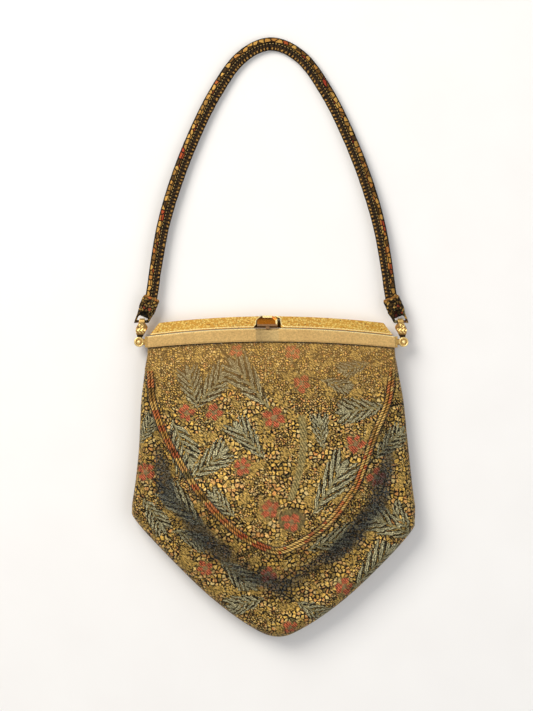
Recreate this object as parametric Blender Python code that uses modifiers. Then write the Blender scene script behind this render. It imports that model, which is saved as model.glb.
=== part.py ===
"""A framed brocade evening bag, lying on its back with its handle laid out.

Metres, +Z up. X runs along the frame, +Y points from the bag towards the handle, and +Z
comes out of the bag's front. The origin is on the table, under the middle of the bag and
handle together, which is level with the lower corners of the roof plate.
"""

import math

import bmesh
import bpy
from mathutils import Matrix, Vector

# Fits
GAP = 0.0003
PIVOT_PLAY = 0.0003

# How far a cutter runs past what it cuts, and how near points are to be welded
OVERCUT = 0.002
WELD = 1e-6

# Metal frame
FRAME_LENGTH = 0.190
BAND_HEIGHT = 0.0100
BAND_END_HEIGHT = 0.0086
BAND_RISE = 0.0062
BAND_WALL = 0.0008
SLOT_WIDTH = 0.0019
FRAME_DEPTH = 0.0198
FRAME_LIFT = 0.0008
ROOF_GAP = 0.0008
ROOF_HEIGHT = 0.0086
ROOF_WALL = 0.0010
ROOF_RIDGE = 0.0030
ROOF_SLOPE_WALL = 0.0013
ROOF_FOOT_INSET = 0.0008
ROOF_END_INSET = 0.0020
ROOF_END_SLANT = 0.0070
ROOF_END_WALL = 0.0015
CHEEK = 0.0011
CHEEK_LOW = 0.07
CHEEK_HIGH = 0.92
CHEEK_BEHIND_MIDDLE = 0.0010
CHEEK_FOOT_FORWARD = 0.0030

# Side arms and the hidden hinges
HINGE_DROP = 0.026
ARM_THICKNESS = 0.0012
ARM_WIDTH = 0.0064
ARM_INSET = 0.0030
RIVET_RADIUS = 0.0009
RIVET_HEAD_RADIUS = 0.0020
RIVET_HEAD_TAPER = 0.7
RIVET_HEAD = 0.0006

# Clasp
CLASP_X = -0.0030
LEVER_WIDTH = 0.0154
LEVER_THICKNESS = 0.0011
LEVER_EYE = 0.0012
LEVER_FOOT_RISE = 0.0004
NOTCH_LEFT = 0.0103
NOTCH_RIGHT = 0.0103
CATCH_WIDTH = 0.0171
TONGUE_WIDTH = 0.0026
CATCH_DROP = 0.0011
PIVOT_BELOW_RIDGE = 0.0031
PIVOT_FORWARD = 0.0023
PIN_RADIUS = 0.0006
PIN_SEAT = 0.0008
SPRING_RADIUS = 0.0012
SPRING_WIRE = 0.00018
SPRING_TURNS = 3
SPRING_STEPS = 8

# Handle lugs, links and sleeves
LUG_REACH = 0.0064
LUG_Y = -0.0041
LUG_SETBACK = 0.0005
BOSS_RADIUS = 0.0038
BOSS_DEPTH = 0.0050
BOSS_RECESS_RADIUS = 0.0025
BOSS_RECESS_DEPTH = 0.0014
BALL_RADIUS = 0.0015
BALL_SEAT = 0.0012
BALL_WRAP = 140
SHAFT_RADIUS = 0.0010
SHAFT_HEAD_RADIUS = 0.0019
SHAFT_HEAD_TOP = 0.0016
SHAFT_HEAD = 0.0007
FLANGE_HEIGHT = 0.0084
FLANGE_DEPTH = 0.0080
FLANGE_THICKNESS = 0.0015
NECK_RADIUS = 0.0022
NECK_FLARE = 1.15
NECK_RISE = 0.0002
LINK_LEAN = 0.0021
LINK_THICKNESS = 0.0009
LINK_INSIDE = 0.0030
LINK_STEPS = 8
LINK_EYE_RADIUS = 0.0032
LEAF_WIDTH = 0.0077
LEAF_BOTTOM_Y = 0.0015
LEAF_BELOW_NECK = 0.0006
LEAF_FOOT_SHARE = 0.72
LEAF_WIDEST_AT = 0.45
LINK_NECK_WIDTH = 0.0043
REAR_LEAF_SHIFT = 0.0013
PIVOT_Y = 0.0116
BAR_RADIUS = 0.0011
BAR_SEAT = 0.0010
SLEEVE_WIDTH = 0.0122
SLEEVE_DEPTH = 0.0052
SLEEVE_LENGTH = 0.0200
SLEEVE_SHOULDER = 0.0020
SLEEVE_LEAN = math.radians(22.5)
HOLE_LENGTH = 0.0077
HOLE_WIDTH = 0.0082
HOLE_TOP_WIDTH = 0.0055
HOLE_OUTWARD = 0.0003

# Handle strap
HANDLE_REACH = 0.2305
STRAP_WIDTH = 0.0102
STRAP_END_WIDTH = 0.0068
STRAP_WIDENS_OVER = 0.10
STRAP_HEIGHT_SHARE = 0.55
STRAP_LIFT = 0.0005
STRAP_TUCK_X = 0.0010
STRAP_TUCK_Y = 0.0035
POCKET_DEPTH = 0.0045
# The strap's centre line, right half: distance from the middle as a share of the sleeve's
# top, and height as a share of the way from the sleeve's top to the arch.
STRAP_PATH = (
    (0.989, 0.044), (0.973, 0.102), (0.909, 0.276), (0.802, 0.451),
    (0.659, 0.625), (0.477, 0.800), (0.258, 0.944),
)

# Soft body
FABRIC = 0.0012
BAG_WIDTH = 0.218
BAG_DEPTH = 0.2305
PANEL_DEPTH = 0.1367
CORNER_AT = 0.51
SEAM_Z = 0.0112
SEAM_GAP = 0.0009
FRONT_HINGE_Z = 0.0215
PIPING_RISE = 0.0145
PIPING_CLIMB = 1.5
PANEL_CROWN = 0.0062
PANEL_CROWN_AT_HINGE = 0.45
PANEL_TIP = 0.12
RIM_Z = 0.0245
RIM_HINGE_Z = 0.0190
RIM_CLIMB = 1.6
VALLEY = 0.0050
VALLEY_SKEW = 1.3
FRONT_ROUNDING = 0.0100
BACK_ROUNDING = 0.0160
ROUNDING_SHARE = 0.55
GUSSET_TUCK = 0.00096
BACK_EDGE_Z = 0.0031
BACK_EDGE_WIDTH = 0.008
PIPING_RADIUS = 0.00115
PIPING_SPACING = 0.0026
PIPING_CLEAR = 0.00066
PIPING_STEP = 0.0007
LINING = 0.0008
LINING_CLEAR = 0.0050
LINING_END = 0.0060
LINING_Z = 0.0121
LINING_HALF_HEIGHT = 0.0076
LINING_SIDE = 0.0105
LINING_POINTS = 16
FLAP_BACK_Z = 0.0012
FLAP_SIDE = 0.0008
FLAP_MOUTH = 0.0012
FLAP_TUCK = 0.0040
# Where the flap's rows lie on the way up from the hinge line, the last but one in the slot's
# mouth.
FLAP_RISES = (0.0, 0.2, 0.4, 0.6, 0.75, 1.0)

# The piping's line, from the left hinge round the point to the right hinge: a share of half
# the frame, and a share of the panel's depth.
PIPING_LINE = (
    (-0.975, 0.000), (-0.953, 0.168), (-0.864, 0.344), (-0.726, 0.516), (-0.632, 0.622),
    (-0.563, 0.688), (-0.432, 0.794), (-0.263, 0.902), (-0.095, 0.969), (0.063, 1.000),
    (0.211, 0.961), (0.368, 0.894), (0.516, 0.796), (0.616, 0.702), (0.674, 0.644),
    (0.747, 0.519), (0.832, 0.351), (0.935, 0.176), (0.975, 0.000),
)
# The bag's outline beside each point of the piping: a share of the half width at that depth,
# and a share of the depth below the hinges.
RIM_LINE = (
    (-1.021, 0.000), (-1.016, 0.123), (-0.988, 0.280), (-0.981, 0.418), (-0.983, 0.511),
    (-0.959, 0.560), (-0.752, 0.683), (-0.440, 0.845), (-0.156, 0.958), (0.046, 1.000),
    (0.239, 0.963), (0.514, 0.860), (0.789, 0.722), (0.986, 0.604), (1.013, 0.555),
    (1.016, 0.418), (1.026, 0.251), (1.035, 0.113), (1.024, 0.000),
)

# Fineness of the round and soft shapes
SEGMENTS = 20
COLUMNS_PER_STATION = 2
STRAP_STEPS = 54

HALF = FRAME_LENGTH / 2
LUG_X = HALF + LUG_REACH
LINK_NECK_X = LUG_X - LINK_LEAN
BACK_Z = FRAME_LIFT
FRONT_Z = FRAME_LIFT + FRAME_DEPTH
MIDDLE_Z = (BACK_Z + FRONT_Z) / 2
BAND_DEPTH = 2 * BAND_WALL + SLOT_WIDTH
SLOT_FACE_Z = FRONT_Z - BAND_WALL - (SLOT_WIDTH - FABRIC) / 2
HINGE_Y = -HINGE_DROP
BODY_DEPTH = BAG_DEPTH - HINGE_DROP - GAP
STATIONS = len(PIPING_LINE) - 1


def clear_scene():
    for obj in list(bpy.data.objects):
        bpy.data.objects.remove(obj)
    for collection in list(bpy.data.collections):
        bpy.data.collections.remove(collection)


def new_collection(name):
    collection = bpy.data.collections.new(name)
    bpy.context.scene.collection.children.link(collection)
    return collection


def new_material(name, color, roughness, metallic):
    material = bpy.data.materials.new(name)
    material.use_nodes = True
    shader = material.node_tree.nodes["Principled BSDF"]
    shader.inputs["Base Color"].default_value = (*color, 1.0)
    shader.inputs["Roughness"].default_value = roughness
    shader.inputs["Metallic"].default_value = metallic
    material.diffuse_color = (*color, 1.0)
    return material


clear_scene()
PARTS = new_collection("framed_brocade_bag")
CUTTERS = new_collection("cutters")

MATTE_GOLD = new_material("matte_gold", (0.58, 0.42, 0.18), 0.45, 1.0)
BRIGHT_GOLD = new_material("bright_gold", (0.72, 0.45, 0.12), 0.30, 1.0)
POLISHED_BRASS = new_material("polished_brass", (0.62, 0.36, 0.10), 0.15, 1.0)
ANTIQUE_GOLD = new_material("antique_gold", (0.50, 0.33, 0.12), 0.35, 1.0)
STEEL = new_material("spring_steel", (0.40, 0.38, 0.34), 0.35, 1.0)
BROCADE = new_material("brocade", (0.30, 0.20, 0.06), 0.65, 0.2)
DARK_BROCADE = new_material("dark_brocade", (0.20, 0.13, 0.04), 0.70, 0.2)
LINING_CLOTH = new_material("lining_cloth", (0.25, 0.17, 0.08), 0.60, 0.0)


def add_mesh(name, bm, material, collection=None):
    """Makes an object of a bmesh, its faces turned outwards."""
    bmesh.ops.remove_doubles(bm, verts=bm.verts, dist=WELD)
    bmesh.ops.recalc_face_normals(bm, faces=bm.faces)
    mesh = bpy.data.meshes.new(name)
    bm.to_mesh(mesh)
    bm.free()
    obj = bpy.data.objects.new(name, mesh)
    (collection or PARTS).objects.link(obj)
    if material:
        mesh.materials.append(material)
    return obj


def add_cutter(name, bm):
    obj = add_mesh(name, bm, None, CUTTERS)
    obj.hide_render = True
    obj.display_type = "WIRE"
    return obj


def boolean(obj, other, operation="DIFFERENCE"):
    modifier = obj.modifiers.new(operation.title(), "BOOLEAN")
    modifier.operation = operation
    modifier.object = other


def box(center, size):
    bm = bmesh.new()
    bmesh.ops.create_cube(bm, size=1.0)
    bmesh.ops.scale(bm, vec=Vector(size), verts=bm.verts)
    bmesh.ops.translate(bm, vec=Vector(center), verts=bm.verts)
    return bm


def cylinder(center, radius, depth, axis="Z", top_radius=None, segments=SEGMENTS):
    bm = bmesh.new()
    bmesh.ops.create_cone(
        bm,
        cap_ends=True,
        segments=segments,
        radius1=radius,
        radius2=radius if top_radius is None else top_radius,
        depth=depth,
    )
    if axis == "X":
        bmesh.ops.rotate(bm, verts=bm.verts, matrix=Matrix.Rotation(math.pi / 2, 3, "Y"))
    bmesh.ops.translate(bm, vec=Vector(center), verts=bm.verts)
    return bm


def slab_yz(outline, x_low, x_high):
    """A flat plate across X, from its outline as (y, z) pairs."""
    bm = bmesh.new()
    face = bm.faces.new([bm.verts.new((x_low, y, z)) for y, z in outline])
    grown = bmesh.ops.extrude_face_region(bm, geom=[face])
    moved = [item for item in grown["geom"] if isinstance(item, bmesh.types.BMVert)]
    bmesh.ops.translate(bm, vec=Vector((x_high - x_low, 0, 0)), verts=moved)
    return bm


def loft(rings):
    """A closed body through rings of points, with flat ends."""
    bm = bmesh.new()
    loops = [[bm.verts.new(point) for point in ring] for ring in rings]
    count = len(loops[0])
    for low, high in zip(loops, loops[1:]):
        for i in range(count):
            j = (i + 1) % count
            bm.faces.new((low[i], low[j], high[j], high[i]))
    bm.faces.new(list(reversed(loops[0])))
    bm.faces.new(loops[-1])
    return bm


def smooth(share):
    share = min(1.0, max(0.0, share))
    return share * share * (3 - 2 * share)


def mix(a, b, share):
    return a + (b - a) * share


def arc(center, radius, start, end, steps):
    """Points of an arc, its angles in degrees, for an outline."""
    angles = [math.radians(mix(start, end, i / steps)) for i in range(steps + 1)]
    return [(center[0] + radius * math.cos(a), center[1] + radius * math.sin(a)) for a in angles]


def spline(points, at):
    """A smooth curve through the points, where at counts them from 0."""
    last = len(points) - 1
    i = min(int(at), last - 1)
    t = at - i
    p1, p2 = Vector(points[i]), Vector(points[i + 1])
    p0 = Vector(points[i - 1]) if i > 0 else 2 * p1 - p2
    p3 = Vector(points[i + 2]) if i + 2 <= last else 2 * p2 - p1
    return 0.5 * (
        2 * p1 + (p2 - p0) * t + (2 * p0 - 5 * p1 + 4 * p2 - p3) * t**2
        + (3 * p1 - p0 - 3 * p2 + p3) * t**3
    )


def band_top(x):
    """Height of the band's top edge, gently arched along the frame."""
    return BAND_RISE * (1 - (x / HALF) ** 2)


def band_bottom(x):
    return band_top(x) - mix(BAND_HEIGHT, BAND_END_HEIGHT, (x / HALF) ** 2)


def flipped(z):
    """The same height on the frame's other face."""
    return BACK_Z + FRONT_Z - z


def along_frame(half_length, steps=12):
    return [mix(-half_length, half_length, i / steps) for i in range(steps + 1)]


def make_band(name, front):
    """The channel that grips the cloth: two walls joined along the top."""
    side = (lambda z: z) if front else flipped
    outer, slot_outer = FRONT_Z, FRONT_Z - BAND_WALL
    slot_inner, inner = slot_outer - SLOT_WIDTH, FRONT_Z - BAND_DEPTH
    rings = []
    for x in along_frame(HALF):
        top, bottom = band_top(x), band_bottom(x)
        web = top - BAND_WALL
        section = (
            (bottom, outer), (top, outer), (top, inner), (bottom, inner),
            (bottom, slot_inner), (web, slot_inner), (web, slot_outer), (bottom, slot_outer),
        )
        rings.append([(x, y, side(z)) for y, z in section])
    return add_mesh(name, loft(rings), MATTE_GOLD)


def make_front_band():
    band = make_band("front_band", front=True)
    window = CATCH_WIDTH + 2 * GAP
    depth = BAND_DEPTH - BAND_WALL
    cutter = box(
        (CLASP_X, BAND_RISE - BAND_HEIGHT / 2, FRONT_Z - depth / 2 + BAND_WALL),
        (window, 2 * BAND_HEIGHT, depth + 2 * BAND_WALL),
    )
    boolean(band, add_cutter("catch_window", cutter))


def make_catch_plate():
    """The plate in the middle of the front band: its top is lower, as a seat for the tongue."""
    half = CATCH_WIDTH / 2
    rings = []
    for x in (CLASP_X - half, CLASP_X, CLASP_X + half):
        top, bottom = band_top(x) - CATCH_DROP, band_bottom(x)
        inner = FRONT_Z - BAND_DEPTH + BAND_WALL + GAP
        section = (
            (bottom, FRONT_Z), (top, FRONT_Z), (top, inner), (top - BAND_WALL, inner),
            (top - BAND_WALL, FRONT_Z - BAND_WALL), (bottom, FRONT_Z - BAND_WALL),
        )
        rings.append([(x, y, z) for y, z in section])
    add_mesh("catch_plate", loft(rings), MATTE_GOLD)


def hinge_point():
    return HINGE_Y, MIDDLE_Z


def make_arm(name, side, front):
    """A flat arm from the band down to the hinge, beside its partner on the other half."""
    face = (lambda z: z) if front else flipped
    hy, hz = hinge_point()
    radius = ARM_WIDTH / 2
    band_face = FRONT_Z - BAND_DEPTH - GAP
    top = band_top(HALF) - BAND_WALL / 2
    low = band_bottom(HALF) + BAND_WALL
    outline = arc((hy, hz), radius, 90, 270, 12)
    outline += [(low, hz - radius), (top, hz - radius), (top, band_face), (low, band_face)]
    outline.append((low - radius, hz + radius))
    outer = HALF - ARM_INSET
    if front:
        outer -= ARM_THICKNESS + GAP
    x_low, x_high = sorted((side * (outer - ARM_THICKNESS), side * outer))
    arm = add_mesh(name, slab_yz([(y, face(z)) for y, z in outline], x_low, x_high), MATTE_GOLD)
    if not front:
        # The block that carries the handle's lug.
        x_low, x_high = sorted((side * (outer - ARM_THICKNESS / 2), side * HALF))
        z_low, z_high = lug_z() - FLANGE_DEPTH / 2, lug_z() + FLANGE_DEPTH / 2
        block = [(low, z_low), (top, z_low), (top, z_high), (low, z_high)]
        boolean(arm, add_cutter(name + "_block", slab_yz(block, x_low, x_high)), "UNION")
    bore = cylinder(
        (side * (outer - ARM_THICKNESS / 2), hy, hz), RIVET_RADIUS + PIVOT_PLAY, 3 * ARM_THICKNESS, "X"
    )
    boolean(arm, add_cutter(name + "_bore", bore))


def turned(profile, axis_matrix, name, material):
    """A turned piece from its (radius, height) profile, outer side top to bottom."""
    bm = bmesh.new()
    verts = [bm.verts.new((radius, 0, height)) for radius, height in profile]
    for a, b in zip(verts, verts[1:]):
        bm.edges.new((a, b))
    mesh = bpy.data.meshes.new(name)
    bm.to_mesh(mesh)
    bm.free()
    obj = bpy.data.objects.new(name, mesh)
    PARTS.objects.link(obj)
    mesh.materials.append(material)
    screw = obj.modifiers.new("Turn", "SCREW")
    screw.steps = screw.render_steps = 16
    screw.use_merge_vertices = True
    screw.merge_threshold = WELD
    screw.use_smooth_shade = True
    obj.matrix_world = axis_matrix
    return obj


def make_hinge_rivet(name, side):
    hy, hz = hinge_point()
    outer = HALF - ARM_INSET
    grip = 2 * ARM_THICKNESS + GAP + 2 * PIVOT_PLAY
    half = grip / 2
    head = RIVET_HEAD
    profile = (
        (0, half + head), (RIVET_HEAD_RADIUS * RIVET_HEAD_TAPER, half + head),
        (RIVET_HEAD_RADIUS, half), (RIVET_RADIUS, half), (RIVET_RADIUS, -half),
        (RIVET_HEAD_RADIUS, -half), (RIVET_HEAD_RADIUS * RIVET_HEAD_TAPER, -half - head),
        (0, -half - head),
    )
    center = side * (outer - ARM_THICKNESS - GAP / 2)
    place = Matrix.Translation((center, hy, hz)) @ Matrix.Rotation(math.pi / 2, 4, "Y")
    turned(profile, place, name, POLISHED_BRASS)


def roof_foot_z():
    return FRONT_Z - ROOF_FOOT_INSET


def roof_rings(half_length, inside=False):
    """Rings of the roof's outer shape, or of its inside, which runs out below."""
    slope_wall = ROOF_SLOPE_WALL if inside else 0.0
    height = ROOF_HEIGHT - slope_wall
    foot = roof_foot_z() - slope_wall
    ridge = MIDDLE_Z + (ROOF_RIDGE - (ROOF_WALL if inside else 0.0)) / 2
    section = [(0.0, foot), (height, ridge), (height, flipped(ridge)), (0.0, flipped(foot))]
    if inside:
        section = [(-OVERCUT, foot)] + section + [(-OVERCUT, flipped(foot))]
    rings = []
    for share in along_frame(1.0):
        ring = []
        for rise, z in section:
            x = share * (half_length - ROOF_END_SLANT * max(0.0, rise) / height)
            ring.append((x, band_top(x) + ROOF_GAP + rise, z))
        rings.append(ring)
    return rings


def clasp_pivot():
    """Where the lever turns, under the roof's ridge."""
    ridge_y = band_top(CLASP_X) + ROOF_GAP + ROOF_HEIGHT
    return ridge_y - PIVOT_BELOW_RIDGE, MIDDLE_Z + PIVOT_FORWARD


def tongue_z():
    """The tongue lies just in front of the band's inner wall, which it holds back."""
    return FRONT_Z - BAND_DEPTH + BAND_WALL + GAP + LEVER_THICKNESS / 2


def make_roof():
    """The grained cover over the mouth: a low gable with slanted ends and a notch."""
    length = HALF - ROOF_END_INSET
    roof = add_mesh("top_plate", loft(roof_rings(length)), BRIGHT_GOLD)
    inside = add_cutter("roof_inside", loft(roof_rings(length - ROOF_END_WALL, inside=True)))
    boolean(roof, inside)
    y = band_top(CLASP_X) + ROOF_GAP
    left, right = CLASP_X - NOTCH_LEFT, CLASP_X + NOTCH_RIGHT
    for label, edge in (("left", left - CHEEK), ("right", right)):
        outline = [
            (y + rise * ROOF_HEIGHT, mix(roof_foot_z(), MIDDLE_Z + ROOF_RIDGE / 2, rise) - CHEEK / 2)
            for rise in (CHEEK_LOW, CHEEK_HIGH)
        ]
        outline += [
            (y + CHEEK_HIGH * ROOF_HEIGHT, MIDDLE_Z - CHEEK_BEHIND_MIDDLE),
            (y + CHEEK_LOW * ROOF_HEIGHT, MIDDLE_Z + CHEEK_FOOT_FORWARD),
        ]
        cheek = slab_yz(outline, edge, edge + CHEEK)
        boolean(roof, add_cutter(f"cheek_{label}", cheek), "UNION")
    middle = (left + right) / 2
    py, pz = clasp_pivot()
    notch_low, notch_high = pz - LEVER_EYE - GAP, FRONT_Z + OVERCUT
    notch = box(
        (middle, y + ROOF_HEIGHT / 2, (notch_low + notch_high) / 2),
        (right - left, ROOF_HEIGHT + 2 * OVERCUT, notch_high - notch_low),
    )
    boolean(roof, add_cutter("notch", notch))
    bore = cylinder((middle, py, pz), PIN_RADIUS + GAP / 2, right - left + 2 * (CHEEK + OVERCUT), "X")
    boolean(roof, add_cutter("pin_bore", bore))


def roof_slope():
    """Unit vectors down the roof's front face and out of it, in (y, z)."""
    down = Vector((-ROOF_HEIGHT, roof_foot_z() - MIDDLE_Z - ROOF_RIDGE / 2)).normalized()
    return down, Vector((down.y, -down.x))


def lever_outline():
    """The lever's section: an eye at the pin, and a face that runs down the roof's slope."""
    pivot = Vector(clasp_pivot())
    down, out = roof_slope()
    foot_y = band_top(CLASP_X) + ROOF_GAP + LEVER_FOOT_RISE
    length = (foot_y - pivot.x - out.x * LEVER_EYE) / down.x
    inner = LEVER_EYE - LEVER_THICKNESS
    turn = math.asin(inner / LEVER_EYE)
    outline = [pivot + down * length + out * LEVER_EYE, pivot + down * length + out * inner]
    for i in range(13):
        angle = mix(-turn, 1.5 * math.pi, i / 12)
        outline.append(pivot + (down * math.cos(angle) - out * math.sin(angle)) * LEVER_EYE)
    return [tuple(point) for point in outline]


def make_lever():
    half = LEVER_WIDTH / 2
    lever = add_mesh(
        "clasp_lever", slab_yz(lever_outline(), CLASP_X - half, CLASP_X + half), POLISHED_BRASS
    )
    py, pz = clasp_pivot()
    top = band_top(CLASP_X)
    y_high = top + ROOF_GAP + 2 * LEVER_THICKNESS
    y_low = top - CATCH_DROP + GAP
    tongue = box(
        (CLASP_X, (y_high + y_low) / 2, tongue_z()), (TONGUE_WIDTH, y_high - y_low, LEVER_THICKNESS)
    )
    boolean(lever, add_cutter("tongue", tongue), "UNION")
    bore = cylinder((CLASP_X, py, pz), PIN_RADIUS + PIVOT_PLAY, 2 * LEVER_WIDTH, "X")
    boolean(lever, add_cutter("lever_bore", bore))


def make_clasp_pin():
    py, pz = clasp_pivot()
    length = NOTCH_LEFT + NOTCH_RIGHT + 2 * PIN_SEAT
    center = CLASP_X + (NOTCH_RIGHT - NOTCH_LEFT) / 2
    add_mesh("clasp_pin", cylinder((center, py, pz), PIN_RADIUS - GAP / 2, length, "X", segments=12), STEEL)


def make_clasp_spring():
    """A small coil round the pin, in the room at the lever's right end."""
    py, pz = clasp_pivot()
    start = CLASP_X + LEVER_WIDTH / 2 + GAP + SPRING_WIRE
    room = NOTCH_RIGHT - LEVER_WIDTH / 2 - 2 * GAP - 2 * SPRING_WIRE
    count = SPRING_TURNS * SPRING_STEPS
    curve = bpy.data.curves.new("clasp_spring", "CURVE")
    curve.dimensions = "3D"
    line = curve.splines.new("POLY")
    line.points.add(count)
    for i, point in enumerate(line.points):
        angle = 2 * math.pi * i / SPRING_STEPS
        x = start + room * i / count
        y = py + SPRING_RADIUS * math.cos(angle)
        z = pz + SPRING_RADIUS * math.sin(angle)
        point.co = (x, y, z, 1)
    curve.bevel_depth = SPRING_WIRE
    curve.bevel_resolution = 1
    curve.use_fill_caps = True
    curve.materials.append(STEEL)
    PARTS.objects.link(bpy.data.objects.new("clasp_spring", curve))


def lug_z():
    """Middle height of the links, where the handle turns."""
    return MIDDLE_Z - LUG_SETBACK


def make_lug(name, side):
    """A flange on the frame's end, a flared neck and a round boss with a recess."""
    z = lug_z()
    boss_low = z - LINK_INSIDE / 2 + GAP
    boss_mid = boss_low + BOSS_DEPTH / 2
    boss = cylinder((side * LUG_X, LUG_Y, boss_mid), BOSS_RADIUS, BOSS_DEPTH)
    lug = add_mesh(name, boss, ANTIQUE_GOLD)
    flange_x = side * (HALF + GAP + FLANGE_THICKNESS / 2)
    flange = box((flange_x, LUG_Y, z), (FLANGE_THICKNESS, FLANGE_HEIGHT, FLANGE_DEPTH))
    boolean(lug, add_cutter(name + "_flange", flange), "UNION")
    inner, outer = abs(flange_x), LUG_X - BOSS_RADIUS / 2
    radii = (NECK_RADIUS, NECK_RADIUS * NECK_FLARE)
    low_radius, high_radius = radii if side > 0 else radii[::-1]
    neck_middle = (side * (inner + outer) / 2, LUG_Y, boss_mid + NECK_RISE)
    neck = cylinder(neck_middle, low_radius, outer - inner, "X", high_radius)
    boolean(lug, add_cutter(name + "_neck", neck), "UNION")
    recess = cylinder(
        (side * LUG_X, LUG_Y, boss_low + BOSS_DEPTH), BOSS_RECESS_RADIUS, 2 * BOSS_RECESS_DEPTH
    )
    boolean(lug, add_cutter(name + "_recess", recess))
    bore = cylinder((side * LUG_X, LUG_Y, boss_mid), SHAFT_RADIUS + PIVOT_PLAY, 2 * BOSS_DEPTH)
    boolean(lug, add_cutter(name + "_bore", bore))


def make_lug_rivet(name, side):
    """The rivet that the link turns on: a ball in the boss's recess, a shaft and a rear head."""
    z = lug_z()
    boss_top = z - LINK_INSIDE / 2 + GAP + BOSS_DEPTH
    ball_z = boss_top - BOSS_RECESS_DEPTH + GAP + BALL_SEAT
    rear = z - LINK_INSIDE / 2 - LINK_THICKNESS - GAP
    ball = arc((0.0, ball_z), BALL_RADIUS, 90, 90 - BALL_WRAP, 8)[1:]
    profile = [(0.0, ball_z + BALL_RADIUS)]
    profile += [(r, h) for r, h in ball if r > SHAFT_RADIUS or h > ball_z]
    profile += [
        (SHAFT_RADIUS, profile[-1][1]), (SHAFT_RADIUS, rear), (SHAFT_HEAD_RADIUS, rear),
        (SHAFT_HEAD_TOP, rear - SHAFT_HEAD), (0.0, rear - SHAFT_HEAD),
    ]
    turned(profile, Matrix.Translation((side * LUG_X, LUG_Y, 0)), name, POLISHED_BRASS)


def egg_half_width(share):
    """Half width of the link's front leaf, from its foot at 0 to the neck at 1."""
    full = LEAF_WIDTH / 2
    if share < LEAF_WIDEST_AT:
        t = share / LEAF_WIDEST_AT
        return full * mix(LEAF_FOOT_SHARE, 1.0, math.sin(t * math.pi / 2))
    t = (share - LEAF_WIDEST_AT) / (1 - LEAF_WIDEST_AT)
    return mix(full, LINK_NECK_WIDTH / 2, smooth(t) ** 1.2)


def rear_leaf_shift(share):
    """The rear leaf bows towards the frame between the neck and its eye."""
    return REAR_LEAF_SHIFT * math.sin(math.pi * min(1.0, 1.4 * (1 - share)))


def make_link(name, side):
    """One strip bent over at its neck: an egg-shaped leaf in front, a plain one behind."""
    z = lug_z()
    bend = LINK_INSIDE / 2 + LINK_THICKNESS / 2
    half_t = LINK_THICKNESS / 2
    shares = [i / LINK_STEPS for i in range(LINK_STEPS + 1)]
    leaf_y = [mix(LEAF_BOTTOM_Y, PIVOT_Y - LEAF_BELOW_NECK, share) for share in shares]
    # Each station: its (y, z), the direction out of the strip there, its half width and how far
    # it is shifted towards the frame.
    stations = []
    for share, y in zip(shares, leaf_y):
        stations.append(((y, z + bend), (0, 1), egg_half_width(share), 0.0))
    for y, height in arc((PIVOT_Y, z), bend, 90, -90, LINK_STEPS)[1:-1]:
        out = ((y - PIVOT_Y) / bend, (height - z) / bend)
        stations.append(((y, height), out, LINK_NECK_WIDTH / 2, 0.0))
    for share, y in reversed(list(zip(shares, leaf_y))):
        stations.append(((y, z - bend), (0, -1), egg_half_width(share), rear_leaf_shift(share)))
    for across, y in arc((0.0, LUG_Y), LINK_EYE_RADIUS, 60, -75, 5):
        stations.append(((y, z - bend), (0, -1), across, 0.0))
    rings = []
    for (y, height), (ny, nz), half, shift in stations:
        lean = (y - LUG_Y) / (PIVOT_Y - LUG_Y)
        x = side * (mix(LUG_X, LINK_NECK_X, lean) - shift)
        ring = []
        for across, out in ((-half, half_t), (half, half_t), (half, -half_t), (-half, -half_t)):
            ring.append((x + across, y + ny * out, height + nz * out))
        rings.append(ring)
    link = add_mesh(name, loft(rings), ANTIQUE_GOLD)
    bore = cylinder((side * LUG_X, LUG_Y, z - bend), SHAFT_RADIUS + PIVOT_PLAY, 4 * LINK_THICKNESS)
    boolean(link, add_cutter(name + "_bore", bore))


def rounded_section(width, depth, power=3.0, count=12):
    """A soft rectangle of the given width and depth."""
    points = []
    for i in range(count):
        a = 2 * math.pi * (i + 0.5) / count
        c, s = math.cos(a), math.sin(a)
        x = math.copysign(abs(c) ** (2 / power), c) * width / 2
        z = math.copysign(abs(s) ** (2 / power), s) * depth / 2
        points.append((x, z))
    return points


def handle_tilt_z(y):
    """The handle slopes from its pivots down to the table."""
    rest = STRAP_LIFT + STRAP_WIDTH * STRAP_HEIGHT_SHARE / 2
    top = HANDLE_REACH - STRAP_WIDTH / 2
    return mix(lug_z(), rest, (y - PIVOT_Y) / (top - PIVOT_Y))


def sleeve_ring(side, up, width, depth, lean):
    """A section of the sleeve, up being its distance from the bar along the sleeve."""
    x = LINK_NECK_X - math.tan(SLEEVE_LEAN) * up * math.cos(SLEEVE_LEAN)
    y = PIVOT_Y + up * math.cos(SLEEVE_LEAN)
    ring = []
    for across, out in rounded_section(width, depth):
        ring.append((
            side * (x + across * math.cos(lean)), y + across * math.sin(lean),
            handle_tilt_z(y) + out,
        ))
    return ring


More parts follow.
